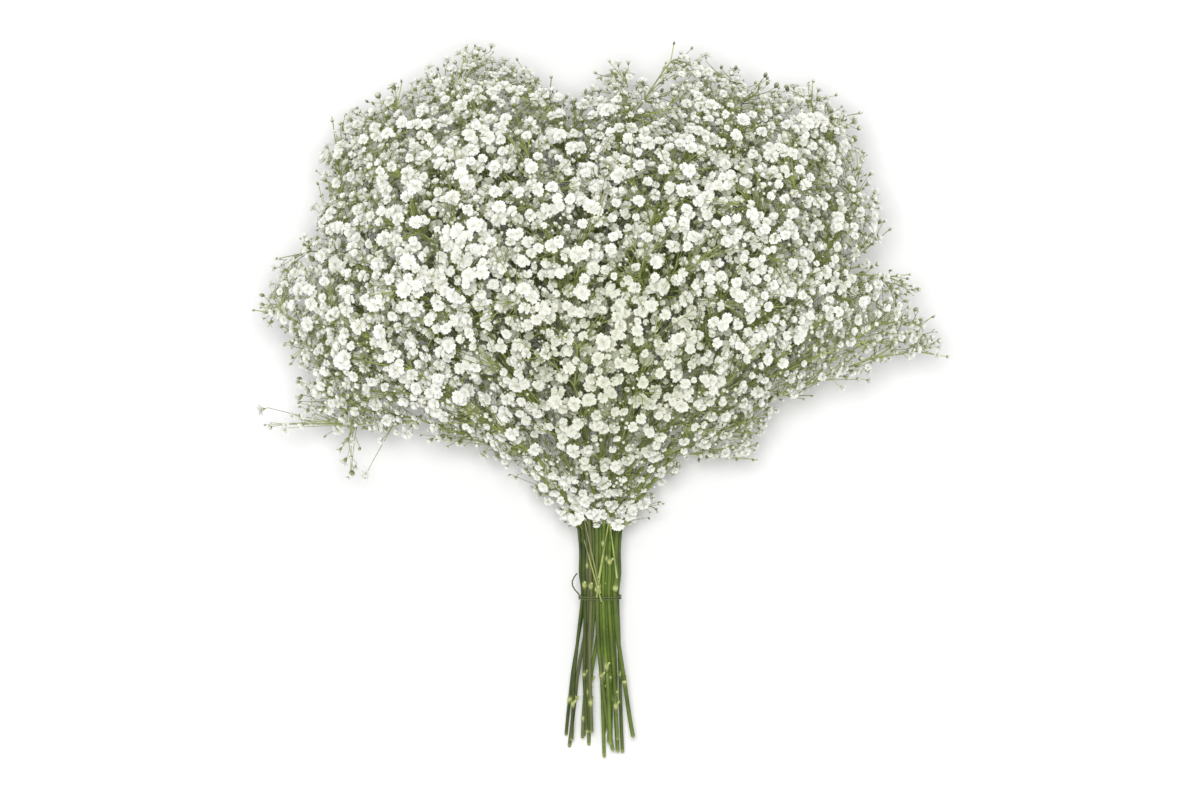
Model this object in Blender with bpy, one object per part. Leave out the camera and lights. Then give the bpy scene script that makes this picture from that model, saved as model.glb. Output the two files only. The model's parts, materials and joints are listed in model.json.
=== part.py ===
# A hand-tied bunch of white gypsophila, laid down on a table.
# Metres, +Z up. The bunch lies along +Y, cut ends at -Y and crown at +Y, and rests on Z = 0.
# Every stem grows as one piece: round stem, forking twigs, double florets and buds, fused into one solid.
import math

import bmesh
import bpy
import numpy as np

MM = 0.001

# All sizes below are in millimetres. The plan is drawn with Y = 0 at the longest cut end and X = 0 at the neck,
# then moved so that the middle of the whole bunch lies over the origin.
MIDDLE = (0.5, 268.4, 0.0)
TIE_Y = 122.0
TIE_HEIGHT = 38.0
BUNDLE_SLOPE_DEG = 17.0

# Stems: three close-packed rows at the tie, which cross over one another towards the cut ends.
# Below the tie they part a little into a left and a right group, and each has one swollen joint.
# No two are alike: their thickness differs, and each strays from its even place as far as the others let it.
STEM_ROWS = (6, 7, 6)
STEM_PITCH = 4.4
ROW_PITCH = 2.95
STEM_RADIUS = 1.6
STEM_THICKNESS = (0.76, 1.06)
STEM_TIP_RADIUS = 1.35
STEM_STEPS_ABOVE = 4
STEM_BEVEL_RESOLUTION = 1
STEM_LEAVE_FAN = 0.017
FAN_START = 36.0
JOINT_SWELL = 0.28
JOINT_HALF_LENGTH = 4.0
JOINT_SHARES = (0.42, 0.78)
FOOT_EASE = 1.25
FOOT_SPREAD = 1.5
FOOT_SHEAR = 2.9
FOOT_LIFT = 2.2
FOOT_LEVELLING = 1.3
FOOT_CUTS = (3.0, 21.0)
KNOTS = (0.0, 0.25, 0.5, 0.75, 1.0)
FOOT_STRAY = (7.5, 3.5)
STEM_BOW = (2.6, 1.5)
STEM_APART = 0.75
STRAY_CHECKS = 25
STRAY_ROUNDS = 500
STRAY_GAIN = 1.6
PARTING = 1.3
PARTING_X = 3.0

# Crown: its outline seen from above, then its depth. Its underside is pressed flat on the table.
CROWN_OUTLINE = (
    (-19, 182), (-45, 210), (-75, 238), (-86, 257), (-135, 259), (-161, 243), (-191, 238), (-226, 252),
    (-233, 300), (-261, 335), (-244, 374), (-219, 394), (-216, 433), (-202, 478), (-150, 508), (-101, 534),
    (-79, 535), (-37, 512), (-21, 498), (7, 524), (24, 522), (37, 505), (56, 537), (75, 533), (105, 516),
    (161, 508), (196, 484), (204, 445), (219, 396), (208, 376), (234, 362), (251, 330), (262, 300),
    (225, 295), (168, 291), (161, 270), (135, 259), (117, 221), (67, 214), (41, 197), (24, 182),
)
CROWN_MIDDLE_Y = 345.0
CROWN_HALF_SIZE = np.array([250.0, 185.0, 120.0])
CROWN_MID_HEIGHT = 106.0
CROWN_RISE_Y = (122.0, 330.0)
CROWN_HALF_DEPTH = 128.0
CROWN_EDGE_ROUND = 55.0
PRESSED_FLAT = 14.0

# Florets, in millimetres and then in shares of the radius
FLORET_COUNT = 288
FLORET_RADIUS = 14.0
FLORET_PETALS = 5
FLORET_INSET = 0.75
FLORET_LOWEST = 0.45
FLORET_TIP_RISE = 0.34
FLORET_NOTCH = 0.72
FLORET_NOTCH_RISE = 0.12
FLORET_INNER = 0.45
FLORET_INNER_RISE = 0.52
FLORET_CENTRE_RISE = 0.22
TIP_BASE_DROP = 0.20
TIP_REACH = 1.06

# Spacing of the florets, near the crown's surface and deep inside it
SPACING_OUTER = 27.0
SPACING_INNER = 80.0
SPACING_DEPTH = 60.0
SPACING_EASE = 0.97
TRIES = 4000

# Buds
BUD_COUNT = 50
BUD_RADIUS = 2.4
BUD_SIDES = 5
BUD_POINT = 3.4
BUD_INSET = 3.5
BUD_SHELL = 10.0
BUD_SPACING = 15.0
BUD_APART = 22.0
BUD_TRIES = 20000

# Which way the stems fan out, row by row, before they settle on the florets that they bear
CROWN_APEX_Y = 158.0
ROW_ELEVATION_DEG = (-1.0, 14.0, 29.0)
ROW_FAN_DEG = (58.0, 62.0, 54.0)
SETTLING_ROUNDS = 12
HEAD_HOLD = 1.0
NECK_FAN_SHARE = 0.66

# Twigs: each forks as far along as it can with no branch wider than the fork angle, of big and small branches
TWIG_RADIUS = 0.6
TWIG_GROWTH = 0.32
TWIG_SIDES = 3
ROOT_SINK = 2.5
ROOT_NARROW = 0.5
TURN_LIFT = 0.4
FORK_ANGLE_DEG = (40.0, 52.0)
SMALL_BRANCH = 4
FORK_SHARE = 0.8
SPLIT_ROUNDS = 4
FORK_LEAST = 7.0
FIRST_FORK = (46.0, 96.0)
HEADING_HOLD = 0.25
OUTWARD_FACING = 0.62
CLEARANCE = 0.6
EASING_ROUNDS = 14
PUSH_MOST = 5.0

# The tie, a thin thread wound round the neck, with a small loose loop on the left
TIE_THREAD_RADIUS = 0.6
TIE_TURNS = 2
TIE_TURN_PITCH = 1.9
TIE_CLEARANCE = 0.35
TIE_STEPS = 22
TIE_LOOP_REACH = 4.5
TIE_LOOP_STEPS = 5

BARE, TWIG, TIP = range(3)
SEED = 5
WELD = 1e-7
SMOOTH_ANGLE_DEG = 50.0

PLANT_GREEN = (0.22, 0.33, 0.10, 1.0)
PETAL_WHITE = (0.90, 0.90, 0.86, 1.0)
TIE_GREEN = (0.30, 0.36, 0.22, 1.0)


def unit(v):
    """v at length 1."""
    return v / max(np.linalg.norm(v), 1e-9)


def smooth_step(x, low, high):
    """0 below low, 1 above high, smooth between."""
    t = np.clip((x - low) / (high - low), 0.0, 1.0)
    return t * t * (3 - 2 * t)


# The crown's volume

def outline_distance(xy):
    """How far each point lies inside the crown's outline; negative outside."""
    ring = np.array(CROWN_OUTLINE, float)
    following = np.roll(ring, -1, axis=0)
    edge = following - ring
    offset = xy[:, None, :] - ring
    along = np.clip((offset * edge).sum(2) / (edge ** 2).sum(1), 0, 1)
    nearest = np.linalg.norm(offset - along[..., None] * edge, axis=2).min(1)
    x, y = xy[:, 0:1], xy[:, 1:2]
    spans = (ring[:, 1] > y) != (following[:, 1] > y)
    rise = np.where(edge[:, 1] == 0, 1e-9, edge[:, 1])
    crossings = (spans & (x < ring[:, 0] + (y - ring[:, 1]) / rise * edge[:, 0])).sum(1)
    return np.where(crossings % 2 == 1, nearest, -nearest)


def crown_mid_height(y):
    """Height of the crown's middle sheet, which rises from the neck."""
    return TIE_HEIGHT + (CROWN_MID_HEIGHT - TIE_HEIGHT) * smooth_step(y, *CROWN_RISE_Y)


def crown_depth(points):
    """How deep each point lies under the crown's surface; negative outside."""
    inside = outline_distance(points[:, :2])
    half = CROWN_HALF_DEPTH * (1 - np.exp(-np.maximum(inside, 0) / CROWN_EDGE_ROUND))
    offset = np.abs(points[:, 2] - crown_mid_height(points[:, 1]))
    return np.minimum(inside, half - offset)


def crown_box(lowest):
    """The box that holds the crown, as its low and high corners."""
    ring = np.array(CROWN_OUTLINE, float)
    low = np.array([*ring.min(0), lowest])
    high = np.array([*ring.max(0), CROWN_MID_HEIGHT + CROWN_HALF_DEPTH])
    return low, high


def place_florets(rng):
    """Floret centres, spread evenly through the crown and closest together near its surface."""
    low, high = crown_box(-PRESSED_FLAT)
    found = np.zeros((0, 3))
    ease = 1.0
    while len(found) < FLORET_COUNT:
        tries = rng.uniform(low, high, (TRIES, 3))
        depth = crown_depth(tries) - FLORET_RADIUS * FLORET_INSET
        tries, depth = tries[depth > 0], depth[depth > 0]
        tries[:, 2] = np.maximum(tries[:, 2], FLORET_RADIUS * FLORET_LOWEST)
        need = ease * (SPACING_OUTER + (SPACING_INNER - SPACING_OUTER) * np.clip(depth / SPACING_DEPTH, 0, 1))
        for point, gap in zip(tries, need):
            clear = len(found) == 0 or np.linalg.norm(found - point, axis=1).min() > gap
            if clear and len(found) < FLORET_COUNT:
                found = np.vstack([found, point])
        ease *= SPACING_EASE
    return found


def place_buds(rng, florets):
    """Bud centres clear of the florets: at the outline's furthest points, then close under all the surface."""
    low, high = crown_box(BUD_RADIUS)
    ring = np.array(CROWN_OUTLINE, float)
    inward = np.array([0.0, CROWN_MIDDLE_Y]) - ring
    ring += inward / np.linalg.norm(inward, axis=1)[:, None] * BUD_INSET
    furthest = np.column_stack([ring, crown_mid_height(ring[:, 1])])
    scattered = rng.uniform(low, high, (BUD_TRIES, 3))
    depth = crown_depth(scattered)
    scattered = scattered[(depth > BUD_RADIUS) & (depth < BUD_SHELL)]
    found = np.zeros((0, 3))
    for point in np.vstack([furthest, scattered]):
        clear = np.linalg.norm(florets - point, axis=1).min() > BUD_SPACING
        clear = clear and (len(found) == 0 or np.linalg.norm(found - point, axis=1).min() > BUD_APART)
        if clear and len(found) < BUD_COUNT:
            found = np.vstack([found, point])
    return found


# Which stem bears which floret or bud

def crown_apex():
    """The point that the stems seem to fan out from."""
    return np.array([0.0, CROWN_APEX_Y, crown_mid_height(CROWN_APEX_Y)])


def fan_directions():
    """One starting direction for each stem, row by row, as a fan."""
    made = []
    for row, count in enumerate(STEM_ROWS):
        lift = math.radians(ROW_ELEVATION_DEG[row])
        for k in range(count):
            turn = math.radians(ROW_FAN_DEG[row]) * (2 * k / (count - 1) - 1)
            made.append((math.sin(turn) * math.cos(lift), math.cos(turn) * math.cos(lift), math.sin(lift)))
    return np.array(made)


def share_out(tips):
    """The stem that bears each tip, by nearest direction, with the directions settled by averaging."""
    rays = tips[:, :3] - crown_apex()
    rays /= np.linalg.norm(rays, axis=1)[:, None]
    fan = fan_directions()
    heads = fan.copy()
    for _ in range(SETTLING_ROUNDS):
        owner = (rays @ heads.T).argmax(1)
        for k in range(len(heads)):
            heads[k] = unit(fan[k] * HEAD_HOLD + rays[owner == k].mean(0))
    return (rays @ heads.T).argmax(1), heads


def drawn_in(heads):
    """The headings as the stems leave the neck: nearer to the bunch's axis than those that they reach."""
    turn = np.arctan2(heads[:, 0], heads[:, 1]) * NECK_FAN_SHARE
    flat = np.hypot(heads[:, 0], heads[:, 1])
    return np.column_stack([np.sin(turn) * flat, np.cos(turn) * flat, heads[:, 2]])


# Stem lines

def neck_lattice():
    """Where each stem passes the tie, across the bundle: three close-packed rows."""
    spots = []
    for row, count in enumerate(STEM_ROWS):
        spots += [((k - (count - 1) / 2) * STEM_PITCH, (row - 1) * ROW_PITCH) for k in range(count)]
    return spots


def bundle_axes():
    """Unit vectors along the bundle at the tie, towards the crown, and square to it, upwards."""
    slope = math.radians(BUNDLE_SLOPE_DEG)
    return (np.array([0.0, math.cos(slope), math.sin(slope)]),
            np.array([0.0, -math.sin(slope), math.cos(slope)]))


def bundle_x(share, across, up):
    """How far to the right a stem lies at this share of the way from the tie to the cut ends."""
    ease = share ** FOOT_EASE
    return across * (1 + (FOOT_SPREAD - 1) * ease) + up * FOOT_SHEAR * ease


def bundle_point(share, across, up):
    """A point of the bundle between the tie (share 0) and the cut ends (share 1)."""
    ease = share ** FOOT_EASE
    side = bundle_x(0.5, across, up) - PARTING_X
    x = bundle_x(share, across, up) + math.copysign(PARTING, side) * math.sin(math.pi * share) ** 2
    foot_height = STEM_RADIUS + ROW_PITCH * FOOT_LIFT
    height = foot_height + (TIE_HEIGHT - foot_height) * (1 - share) ** FOOT_LEVELLING
    lifted = bundle_axes()[1] * up * (1 + (FOOT_LIFT - 1) * ease)
    return np.array([x, TIE_Y * (1 - share), height]) + lifted


def lower_lines(rng, radii):
    """Every stem's (x, z) at each knot below the tie: strayed from its even place, and pushed clear of the others."""
    knots = np.array(KNOTS)
    even = np.array([[bundle_point(share, *spot) for share in knots] for spot in neck_lattice()])[:, :, [0, 2]]
    feet = rng.uniform(-1, 1, (len(radii), 1, 2)) * FOOT_STRAY * knots[:, None]
    bows = rng.uniform(-1, 1, (len(radii), 1, 2)) * STEM_BOW * np.sin(math.pi * knots)[:, None]
    place = even + feet + bows
    checks = np.linspace(0, 1, STRAY_CHECKS)
    weights = np.array([np.interp(checks, knots, row) for row in np.eye(len(knots))])
    held = STRAY_GAIN * weights / weights.sum(1)[:, None]
    held[0] = 0
    need = radii[:, None] + radii + STEM_APART
    np.fill_diagonal(need, 0)
    for _ in range(STRAY_ROUNDS):
        now = np.einsum("kc,skx->scx", weights, place)
        between = now[:, None] - now[None]
        gap = np.maximum(np.linalg.norm(between, axis=3), 1e-6)
        push = (between * (np.maximum(need[..., None] - gap, 0) / gap / 2)[..., None]).sum(1)
        place += np.einsum("kc,scx->skx", held, push)
        place[:, 1:, 1] = np.maximum(place[:, 1:, 1], radii[:, None])
    return place


def hermite(a, b, leave, arrive, t):
    """A smooth curve from a to b with the tangents leave and arrive."""
    return ((2 * t ** 3 - 3 * t ** 2 + 1) * a + (t ** 3 - 2 * t ** 2 + t) * leave
            + (3 * t ** 2 - 2 * t ** 3) * b + (t ** 3 - t ** 2) * arrive)


def stem_line(stem, fork, head):
    """One stem from its cut foot to its first fork: (points, thickness at each point)."""
    half = JOINT_HALF_LENGTH / TIE_Y
    swell = stem["joint"] + np.array([-half, 0, half])
    cut = 1 - stem["cut"] / TIE_Y
    shares = sorted([*(knot for knot in KNOTS if knot < cut and abs(knot - stem["joint"]) > half), *swell, cut],
                    reverse=True)
    line, thickness = [], []
    for share in shares:
        y = bundle_point(share, *stem["spot"])[1]
        line.append(np.array([np.interp(share, KNOTS, stem["lower"][:, 0]), y,
                              np.interp(share, KNOTS, stem["lower"][:, 1])]))
        thickness.append(stem["radius"] * (1 + JOINT_SWELL * (share == stem["joint"])))
    along, up = bundle_axes()
    tie, fan = line[-1], crown_apex() + head * FAN_START
    reach = np.linalg.norm(fan - tie)
    spread = (np.array([1.0, 0, 0]) * stem["spot"][0] + up * stem["spot"][1]) * STEM_LEAVE_FAN
    leave = unit(along + spread)
    for t in np.linspace(0, 1, STEM_STEPS_ABOVE + 1)[1:]:
        line.append(hermite(tie, fan, leave * reach, head * reach, t))
        thickness.append(stem["radius"])
    line.append(fork)
    thickness.append(min(stem["radius"], STEM_TIP_RADIUS))
    return line, thickness


# Branching

def split_in_two(points, origin):
    """Parts points into two groups by the direction that each lies in, seen from origin."""
    rays = points - origin
    rays = rays / np.linalg.norm(rays, axis=1)[:, None]
    far = np.unravel_index((rays @ rays.T).argmin(), (len(rays), len(rays)))
    heads = rays[list(far)]
    for _ in range(SPLIT_ROUNDS):
        side = (rays @ heads.T).argmax(1)
        if side.min() == side.max():
            side = np.zeros(len(rays), int)
            side[far[1]] = 1
            break
        heads = np.array([unit(rays[side == k].mean(0)) for k in (0, 1)])
    return side


def next_fork(start, heading, points):
    """Where a branch that bears these tips forks next, and which way it runs there: as far along as it can."""
    towards = unit(unit(points.mean(0) - start) + HEADING_HOLD * heading)
    ahead = (points - start) @ towards
    aside = np.linalg.norm(points - start - ahead[:, None] * towards, axis=1)
    widest = math.radians(FORK_ANGLE_DEG[0] if len(points) > SMALL_BRANCH else FORK_ANGLE_DEG[1])
    reach = min((ahead - aside / math.tan(widest)).min(), FORK_SHARE * ahead.min())
    return start + towards * max(FORK_LEAST, reach), towards


def grow(start, heading, tips, line, runs):
    """Follows line from fork to fork to its tip; each smaller side branch starts a line of its own."""
    if len(tips) == 1:
        line.append((tips[0, :3], 1))
        runs.append((line, tips[0, 3]))
        return
    side = split_in_two(tips[:, :3], start)
    larger = int((side == 1).sum() * 2 > len(tips))
    for own, group in ((line, tips[side == larger]), (None, tips[side != larger])):
        if own is None:
            own = [(start, len(group))]
        fork, towards = start, heading
        if len(group) > 1:
            fork, towards = next_fork(start, heading, group[:, :3])
            own.append((fork, len(group)))
        grow(fork, towards, group, own, runs)


def twig_radius(tips_borne):
    """Thickness of a twig from the number of florets and buds that it feeds."""
    return min(TWIG_RADIUS * tips_borne ** TWIG_GROWTH, STEM_TIP_RADIUS)


def branch(head, tips):
    """(first fork, runs): every run is a list of (point, tips borne), and the size of the tip that ends it."""
    apex = crown_apex()
    reach = np.linalg.norm(next_fork(apex, head, tips[:, :3])[0] - apex)
    fork = apex + head * min(max(FIRST_FORK[0], reach), FIRST_FORK[1])
    root = fork - head * ROOT_SINK
    runs = []
    grow(root, head, tips, [(root, len(tips))], runs)
    return fork, runs


def facing(point, way):
    """Which way a tip opens: along its twig, turned towards the nearest outside of the crown."""
    outward = point - np.array([0.0, CROWN_MIDDLE_Y, crown_mid_height(point[1])])
    return unit(way * (1 - OUTWARD_FACING) + unit(outward / CROWN_HALF_SIZE ** 2) * OUTWARD_FACING)


# Keeping the stems clear of each other

def segment_gap(a0, a1, b0, b1):
    """Least distance between the segment a0 to a1 and each segment b0 to b1."""
    u, v = a1 - a0, b1 - b0
    w = a0 - b0
    uu, vv, uv = u @ u, (v ** 2).sum(1), v @ u
    uw, vw = w @ u, (v * w).sum(1)
    bend = uu * vv - uv * uv
    s = np.where(bend > 1e-9, np.clip((uv * vw - uw * vv) / np.maximum(bend, 1e-9), 0, 1), 0)
    t = np.clip((uv * s + vw) / np.maximum(vv, 1e-9), 0, 1)
    s = np.clip((uv * t - uw) / max(uu, 1e-9), 0, 1)
    return np.linalg.norm(a0 + s[:, None] * u - b0 - t[:, None] * v, axis=1)


def segments_of(stem):
    """(start, end, radius, tip number or -1, kind) of all that a stem is made of."""
    line, thickness = stem["line"]
    made = [(a, b, max(r, q), -1, BARE) for a, b, r, q in zip(line, line[1:], thickness, thickness[1:])]
    for run, size in stem["runs"]:
        last = run[-1][0]
        number = int(np.linalg.norm(stem["tips"][:, :3] - last, axis=1).argmin())
        for (a, carried), (b, _) in zip(run, run[1:]):
            made.append((a, b, twig_radius(carried), number if b is last else -1, TWIG))
        made.append((last, last, size * TIP_REACH, number, TIP))
    return made


def clashes(stems):
    """(stem, tip) of the tips that come too near another stem, by their petals or their twigs."""
    table = [(k, *segment) for k, stem in enumerate(stems) for segment in segments_of(stem)]
    owner, radius, number, kind = (np.array([row[k] for row in table]) for k in (0, 3, 4, 5))
    starts, ends = (np.array([row[k] for row in table]) for k in (1, 2))
    found = set()
    for i in range(len(table)):
        others = np.nonzero((owner > owner[i]) & ((kind > BARE) | (kind[i] > BARE)))[0]
        gap = segment_gap(starts[i], ends[i], starts[others], ends[others]) - radius[i] - radius[others]
        for j in others[gap < CLEARANCE]:
            loser = max((i, j), key=lambda k: (kind[k], number[k] >= 0, -radius[k]))
            tips = stems[owner[loser]]["tips"][:, :3]
            nearest = np.linalg.norm(tips - ends[loser], axis=1).argmin()
            found.add((int(owner[loser]), int(nearest)))
    return found


def ease_apart(stems):
    """Moves every tip away from the twigs that run too near it, its own twig apart."""
    table = [(k, *segment) for k, stem in enumerate(stems) for segment in segments_of(stem)]
    for k, stem in enumerate(stems):
        pushes = np.zeros((len(stem["tips"]), 3))
        others = [row for row in table if row[5] != TIP]
        starts, ends = (np.array([row[c] for row in others]) for c in (1, 2))
        radius, number, owner = (np.array([row[c] for row in others]) for c in (3, 4, 0))
        way = ends - starts
        for tip, (*place, size) in enumerate(stem["tips"]):
            along = np.clip(((place - starts) * way).sum(1) / (way ** 2).sum(1), 0, 1)
            away = place - starts - along[:, None] * way
            gap = np.linalg.norm(away, axis=1)
            need = size + radius + CLEARANCE - gap
            need[(owner == k) & (number == tip)] = 0
            close = need > 0
            push = (away[close] / gap[close, None] * need[close, None]).sum(0)
            pushes[tip] = push * min(1.0, PUSH_MOST / max(np.linalg.norm(push), 1e-9))
        moved = stem["tips"][:, :3] + pushes
        inset = stem["tips"][:, 3] * FLORET_INSET
        moved[:, 2] = np.maximum(moved[:, 2], stem["tips"][:, 3] * FLORET_LOWEST)
        inside = crown_depth(moved) > inset
        stem["tips"][inside, :3] = moved[inside]


def plan_bunch():
    """Every stem's line, branches and tips, with the tips that would touch another stem left out."""
    rng = np.random.default_rng(SEED)
    florets = place_florets(rng)
    buds = place_buds(rng, florets)
    tips = np.vstack([np.column_stack([florets, np.full(len(florets), FLORET_RADIUS)]),
                      np.column_stack([buds, np.full(len(buds), BUD_RADIUS)])])
    owner, heads = share_out(tips)
    heads = drawn_in(heads)
    cuts = rng.uniform(*FOOT_CUTS, len(heads))
    cuts[len(heads) // 2] = 0.0
    joints = rng.uniform(*JOINT_SHARES, len(heads))
    radii = STEM_RADIUS * rng.uniform(*STEM_THICKNESS, len(heads))
    lower = lower_lines(rng, radii)
    stems = []
    for k, spot in enumerate(neck_lattice()):
        stems.append({"tips": tips[owner == k], "spot": spot, "cut": cuts[k], "joint": joints[k],
                      "radius": radii[k], "lower": lower[k]})
    touching, rounds = True, 0
    while touching:
        for k, stem in enumerate(stems):
            stem["fork"], stem["runs"] = branch(heads[k], stem["tips"])
            stem["line"] = stem_line(stem, stem["fork"], heads[k])
        rounds += 1
        if rounds <= EASING_ROUNDS:
            ease_apart(stems)
            continue
        touching = clashes(stems)
        for k, stem in enumerate(stems):
            stem["tips"] = np.delete(stem["tips"], [tip for s, tip in touching if s == k], axis=0)
    return stems


# Meshes

def add_ring(mesh, centre, axis, side, polar):
    """Adds one vertex for each (angle, radius, rise) of polar about centre; none goes under the table."""
    other = np.cross(axis, side)
    ring = []
    for angle, radius, rise in polar:
        place = centre + radius * (math.cos(angle) * side + math.sin(angle) * other) + rise * axis
        place[2] = max(place[2], 0.0)
        ring.append(mesh.verts.new(place * MM))
    return ring


def join_rings(mesh, low, high, material):
    """Skins the band between two rings of unlike numbers of vertices, or from a ring to a single point."""
    i = j = 0
    last = len(high) if len(high) > 1 else 0
    while i < len(low) or j < last:
        if j == last or (i < len(low) and (i + 1) * len(high) <= (j + 1) * len(low)):
            corners = (low[i % len(low)], low[(i + 1) % len(low)], high[j % len(high)])
            i += 1
        else:
            corners = (low[i % len(low)], high[(j + 1) % len(high)], high[j % len(high)])
            j += 1
        mesh.faces.new(corners).material_index = material


def even_ring(count, radius, rise=0.0, turn=0.0):
    """(angle, radius, rise) of count evenly spaced vertices."""
    return [(2 * math.pi * k / count + turn, radius, rise) for k in range(count)]


def floret_rings(size):
    """A double floret in rings: pointed outer petals with notches between, raised inner petals, the middle."""
    outer = []
    for k in range(FLORET_PETALS):
        angle = 2 * math.pi * k / FLORET_PETALS
        outer.append((angle, size, size * FLORET_TIP_RISE))
        outer.append((angle + math.pi / FLORET_PETALS, size * FLORET_NOTCH, size * FLORET_NOTCH_RISE))
    inner = even_ring(FLORET_PETALS, size * FLORET_INNER, size * FLORET_INNER_RISE, math.pi / FLORET_PETALS)
    return [outer, inner, [(0.0, 0.0, size * FLORET_CENTRE_RISE)]]


def bud_rings(size):
    """A closed bud in rings: its widest part, then its point."""
    return [even_ring(BUD_SIDES, size), [(0.0, 0.0, BUD_POINT)]]


def twig_mesh(name, run, size, turn):
    """One closed mesh: a three-sided twig along run, which opens into the floret or bud at its end."""
    points = [point for point, _ in run]
    ways = [unit(b - a) for a, b in zip(points, points[1:])]
    side = unit(np.cross(ways[0], (math.cos(turn), math.sin(turn), TURN_LIFT)))
    mesh = bmesh.new()
    rings = []
    for k, (point, borne) in enumerate(run[:-1]):
        axis = unit(ways[max(k - 1, 0)] + ways[k])
        side = unit(side - (side @ axis) * axis)
        radius = twig_radius(borne) * (ROOT_NARROW if k == 0 else 1.0)
        rings.append(add_ring(mesh, point, axis, side, even_ring(TWIG_SIDES, radius)))
    axis = facing(points[-1], ways[-1])
    side = unit(side - (side @ axis) * axis)
    neck = even_ring(TWIG_SIDES, TWIG_RADIUS, -size * TIP_BASE_DROP)
    opening = floret_rings(size) if size == FLORET_RADIUS else bud_rings(size)
    rings += [add_ring(mesh, points[-1], axis, side, polar) for polar in (neck, *opening)]
    for k, (low, high) in enumerate(zip(rings, rings[1:])):
        join_rings(mesh, low, high, int(k >= len(run) - 1))
    mesh.faces.new(list(reversed(rings[0])))
    data = bpy.data.meshes.new(name)
    mesh.to_mesh(data)
    mesh.free()
    return data


def tube_object(name, line, thickness, sides_resolution):
    """A round tube with filled caps along line, as a mesh object."""
    curve = bpy.data.curves.new(name, "CURVE")
    curve.dimensions = "3D"
    curve.bevel_depth = MM
    curve.bevel_resolution = sides_resolution
    curve.use_fill_caps = True
    spline = curve.splines.new("POLY")
    spline.points.add(len(line) - 1)
    for point, place, radius in zip(spline.points, line, thickness):
        point.co = (*(place * MM), 1.0)
        point.radius = radius
    tube = bpy.data.objects.new(name + "_curve", curve)
    bpy.context.scene.collection.objects.link(tube)
    made = evaluated_mesh(tube, name)
    weld = bmesh.new()
    weld.from_mesh(made)
    bmesh.ops.remove_doubles(weld, verts=weld.verts, dist=WELD)
    weld.to_mesh(made)
    weld.free()
    placed = bpy.data.objects.new(name, made)
    placed.matrix_world = tube.matrix_world
    bpy.data.objects.remove(tube)
    bpy.data.curves.remove(curve)
    return placed


def evaluated_mesh(source, name):
    """The mesh that source shows, with its modifiers applied."""
    graph = bpy.context.evaluated_depsgraph_get()
    made = bpy.data.meshes.new_from_object(source.evaluated_get(graph))
    made.name = name
    return made


def fuse(trunk, pieces):
    """Joins trunk and the meshes of pieces into one solid, with a Boolean union on their collection."""
    group = bpy.data.collections.new(trunk.name + "_twigs")
    bpy.context.scene.collection.children.link(group)
    for data in pieces:
        group.objects.link(bpy.data.objects.new(data.name, data))
    union = trunk.modifiers.new("union", "BOOLEAN")
    union.operation = "UNION"
    union.operand_type = "COLLECTION"
    union.collection = group
    # EXACT leaves one of the sprays touching itself along an edge
    union.solver = "MANIFOLD"
    fused = evaluated_mesh(trunk, trunk.name)
    trunk.modifiers.remove(union)
    trunk.data = fused
    for piece in list(group.objects):
        bpy.data.objects.remove(piece)
    bpy.data.collections.remove(group)


def plain_material(name, colour, roughness):
    """A Principled BSDF material."""
    made = bpy.data.materials.new(name)
    made.use_nodes = True
    shader = made.node_tree.nodes["Principled BSDF"]
    shader.inputs["Base Color"].default_value = colour
    shader.inputs["Roughness"].default_value = roughness
    shader.inputs["Metallic"].default_value = 0.0
    return made


# The pieces

def build_spray(name, stem, rng, plant, petal):
    """One whole stem with its twigs, florets and buds."""
    line, thickness = stem["line"]
    spray = tube_object(name, line, thickness, STEM_BEVEL_RESOLUTION)
    bunch.objects.link(spray)
    pieces = []
    for number, (run, size) in enumerate(stem["runs"]):
        pieces.append(twig_mesh(f"{name}_twig_{number}", run, size, rng.uniform(0, 2 * math.pi)))
    for data in (spray.data, *pieces):
        data.materials.append(plant)
        data.materials.append(petal)
    fuse(spray, pieces)
    return spray


def tie_line(left_stem):
    """The thread's middle line: a small loose loop up the left stem, then turns round the whole bundle."""
    along, up = bundle_axes()
    across = np.array([1.0, 0.0, 0.0])
    centre = np.array([0.0, TIE_Y, TIE_HEIGHT])
    reach = STEM_RADIUS + TIE_CLEARANCE + TIE_THREAD_RADIUS
    spots = np.array(neck_lattice())
    turns = []
    for k in range(TIE_TURNS * TIE_STEPS + 1):
        angle = math.pi - 2 * math.pi * k / TIE_STEPS
        facing = np.array([math.cos(angle), math.sin(angle)])
        u, v = spots[(spots @ facing).argmax()] + reach * facing
        turns.append(centre + across * u + up * v - along * TIE_TURN_PITCH * k / TIE_STEPS)
    start = left_stem - across * reach
    loop = []
    for t in np.linspace(0, 1, TIE_LOOP_STEPS, endpoint=False):
        loop.append(start + (turns[0] - start) * t - across * TIE_LOOP_REACH * math.sin(math.pi * t))
    return loop + turns


for old in list(bpy.data.objects):
    bpy.data.objects.remove(old)

bunch = bpy.data.collections.new("gypsophila_bunch")
bpy.context.scene.collection.children.link(bunch)
plant_green = plain_material("plant_green", PLANT_GREEN, 0.55)
petal_white = plain_material("petal_white", PETAL_WHITE, 0.7)
thread_green = plain_material("thread_green", TIE_GREEN, 0.6)

middle = bpy.data.objects.new("bunch_middle", None)
middle.location = [-size * MM for size in MIDDLE]
bunch.objects.link(middle)

stems = plan_bunch()
turn_rng = np.random.default_rng(SEED + 1)
pieces = []
for number, stem in enumerate(stems):
    pieces.append(build_spray(f"spray_{number + 1:02d}", stem, turn_rng, plant_green, petal_white))

leftmost = stems[STEM_ROWS[0]]["line"][0]
path = tie_line(leftmost[-1 - STEM_STEPS_ABOVE])
tie = tube_object("tie_thread", path, [TIE_THREAD_RADIUS] * len(path), 0)
tie.data.materials.append(thread_green)
bunch.objects.link(tie)
pieces.append(tie)

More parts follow.
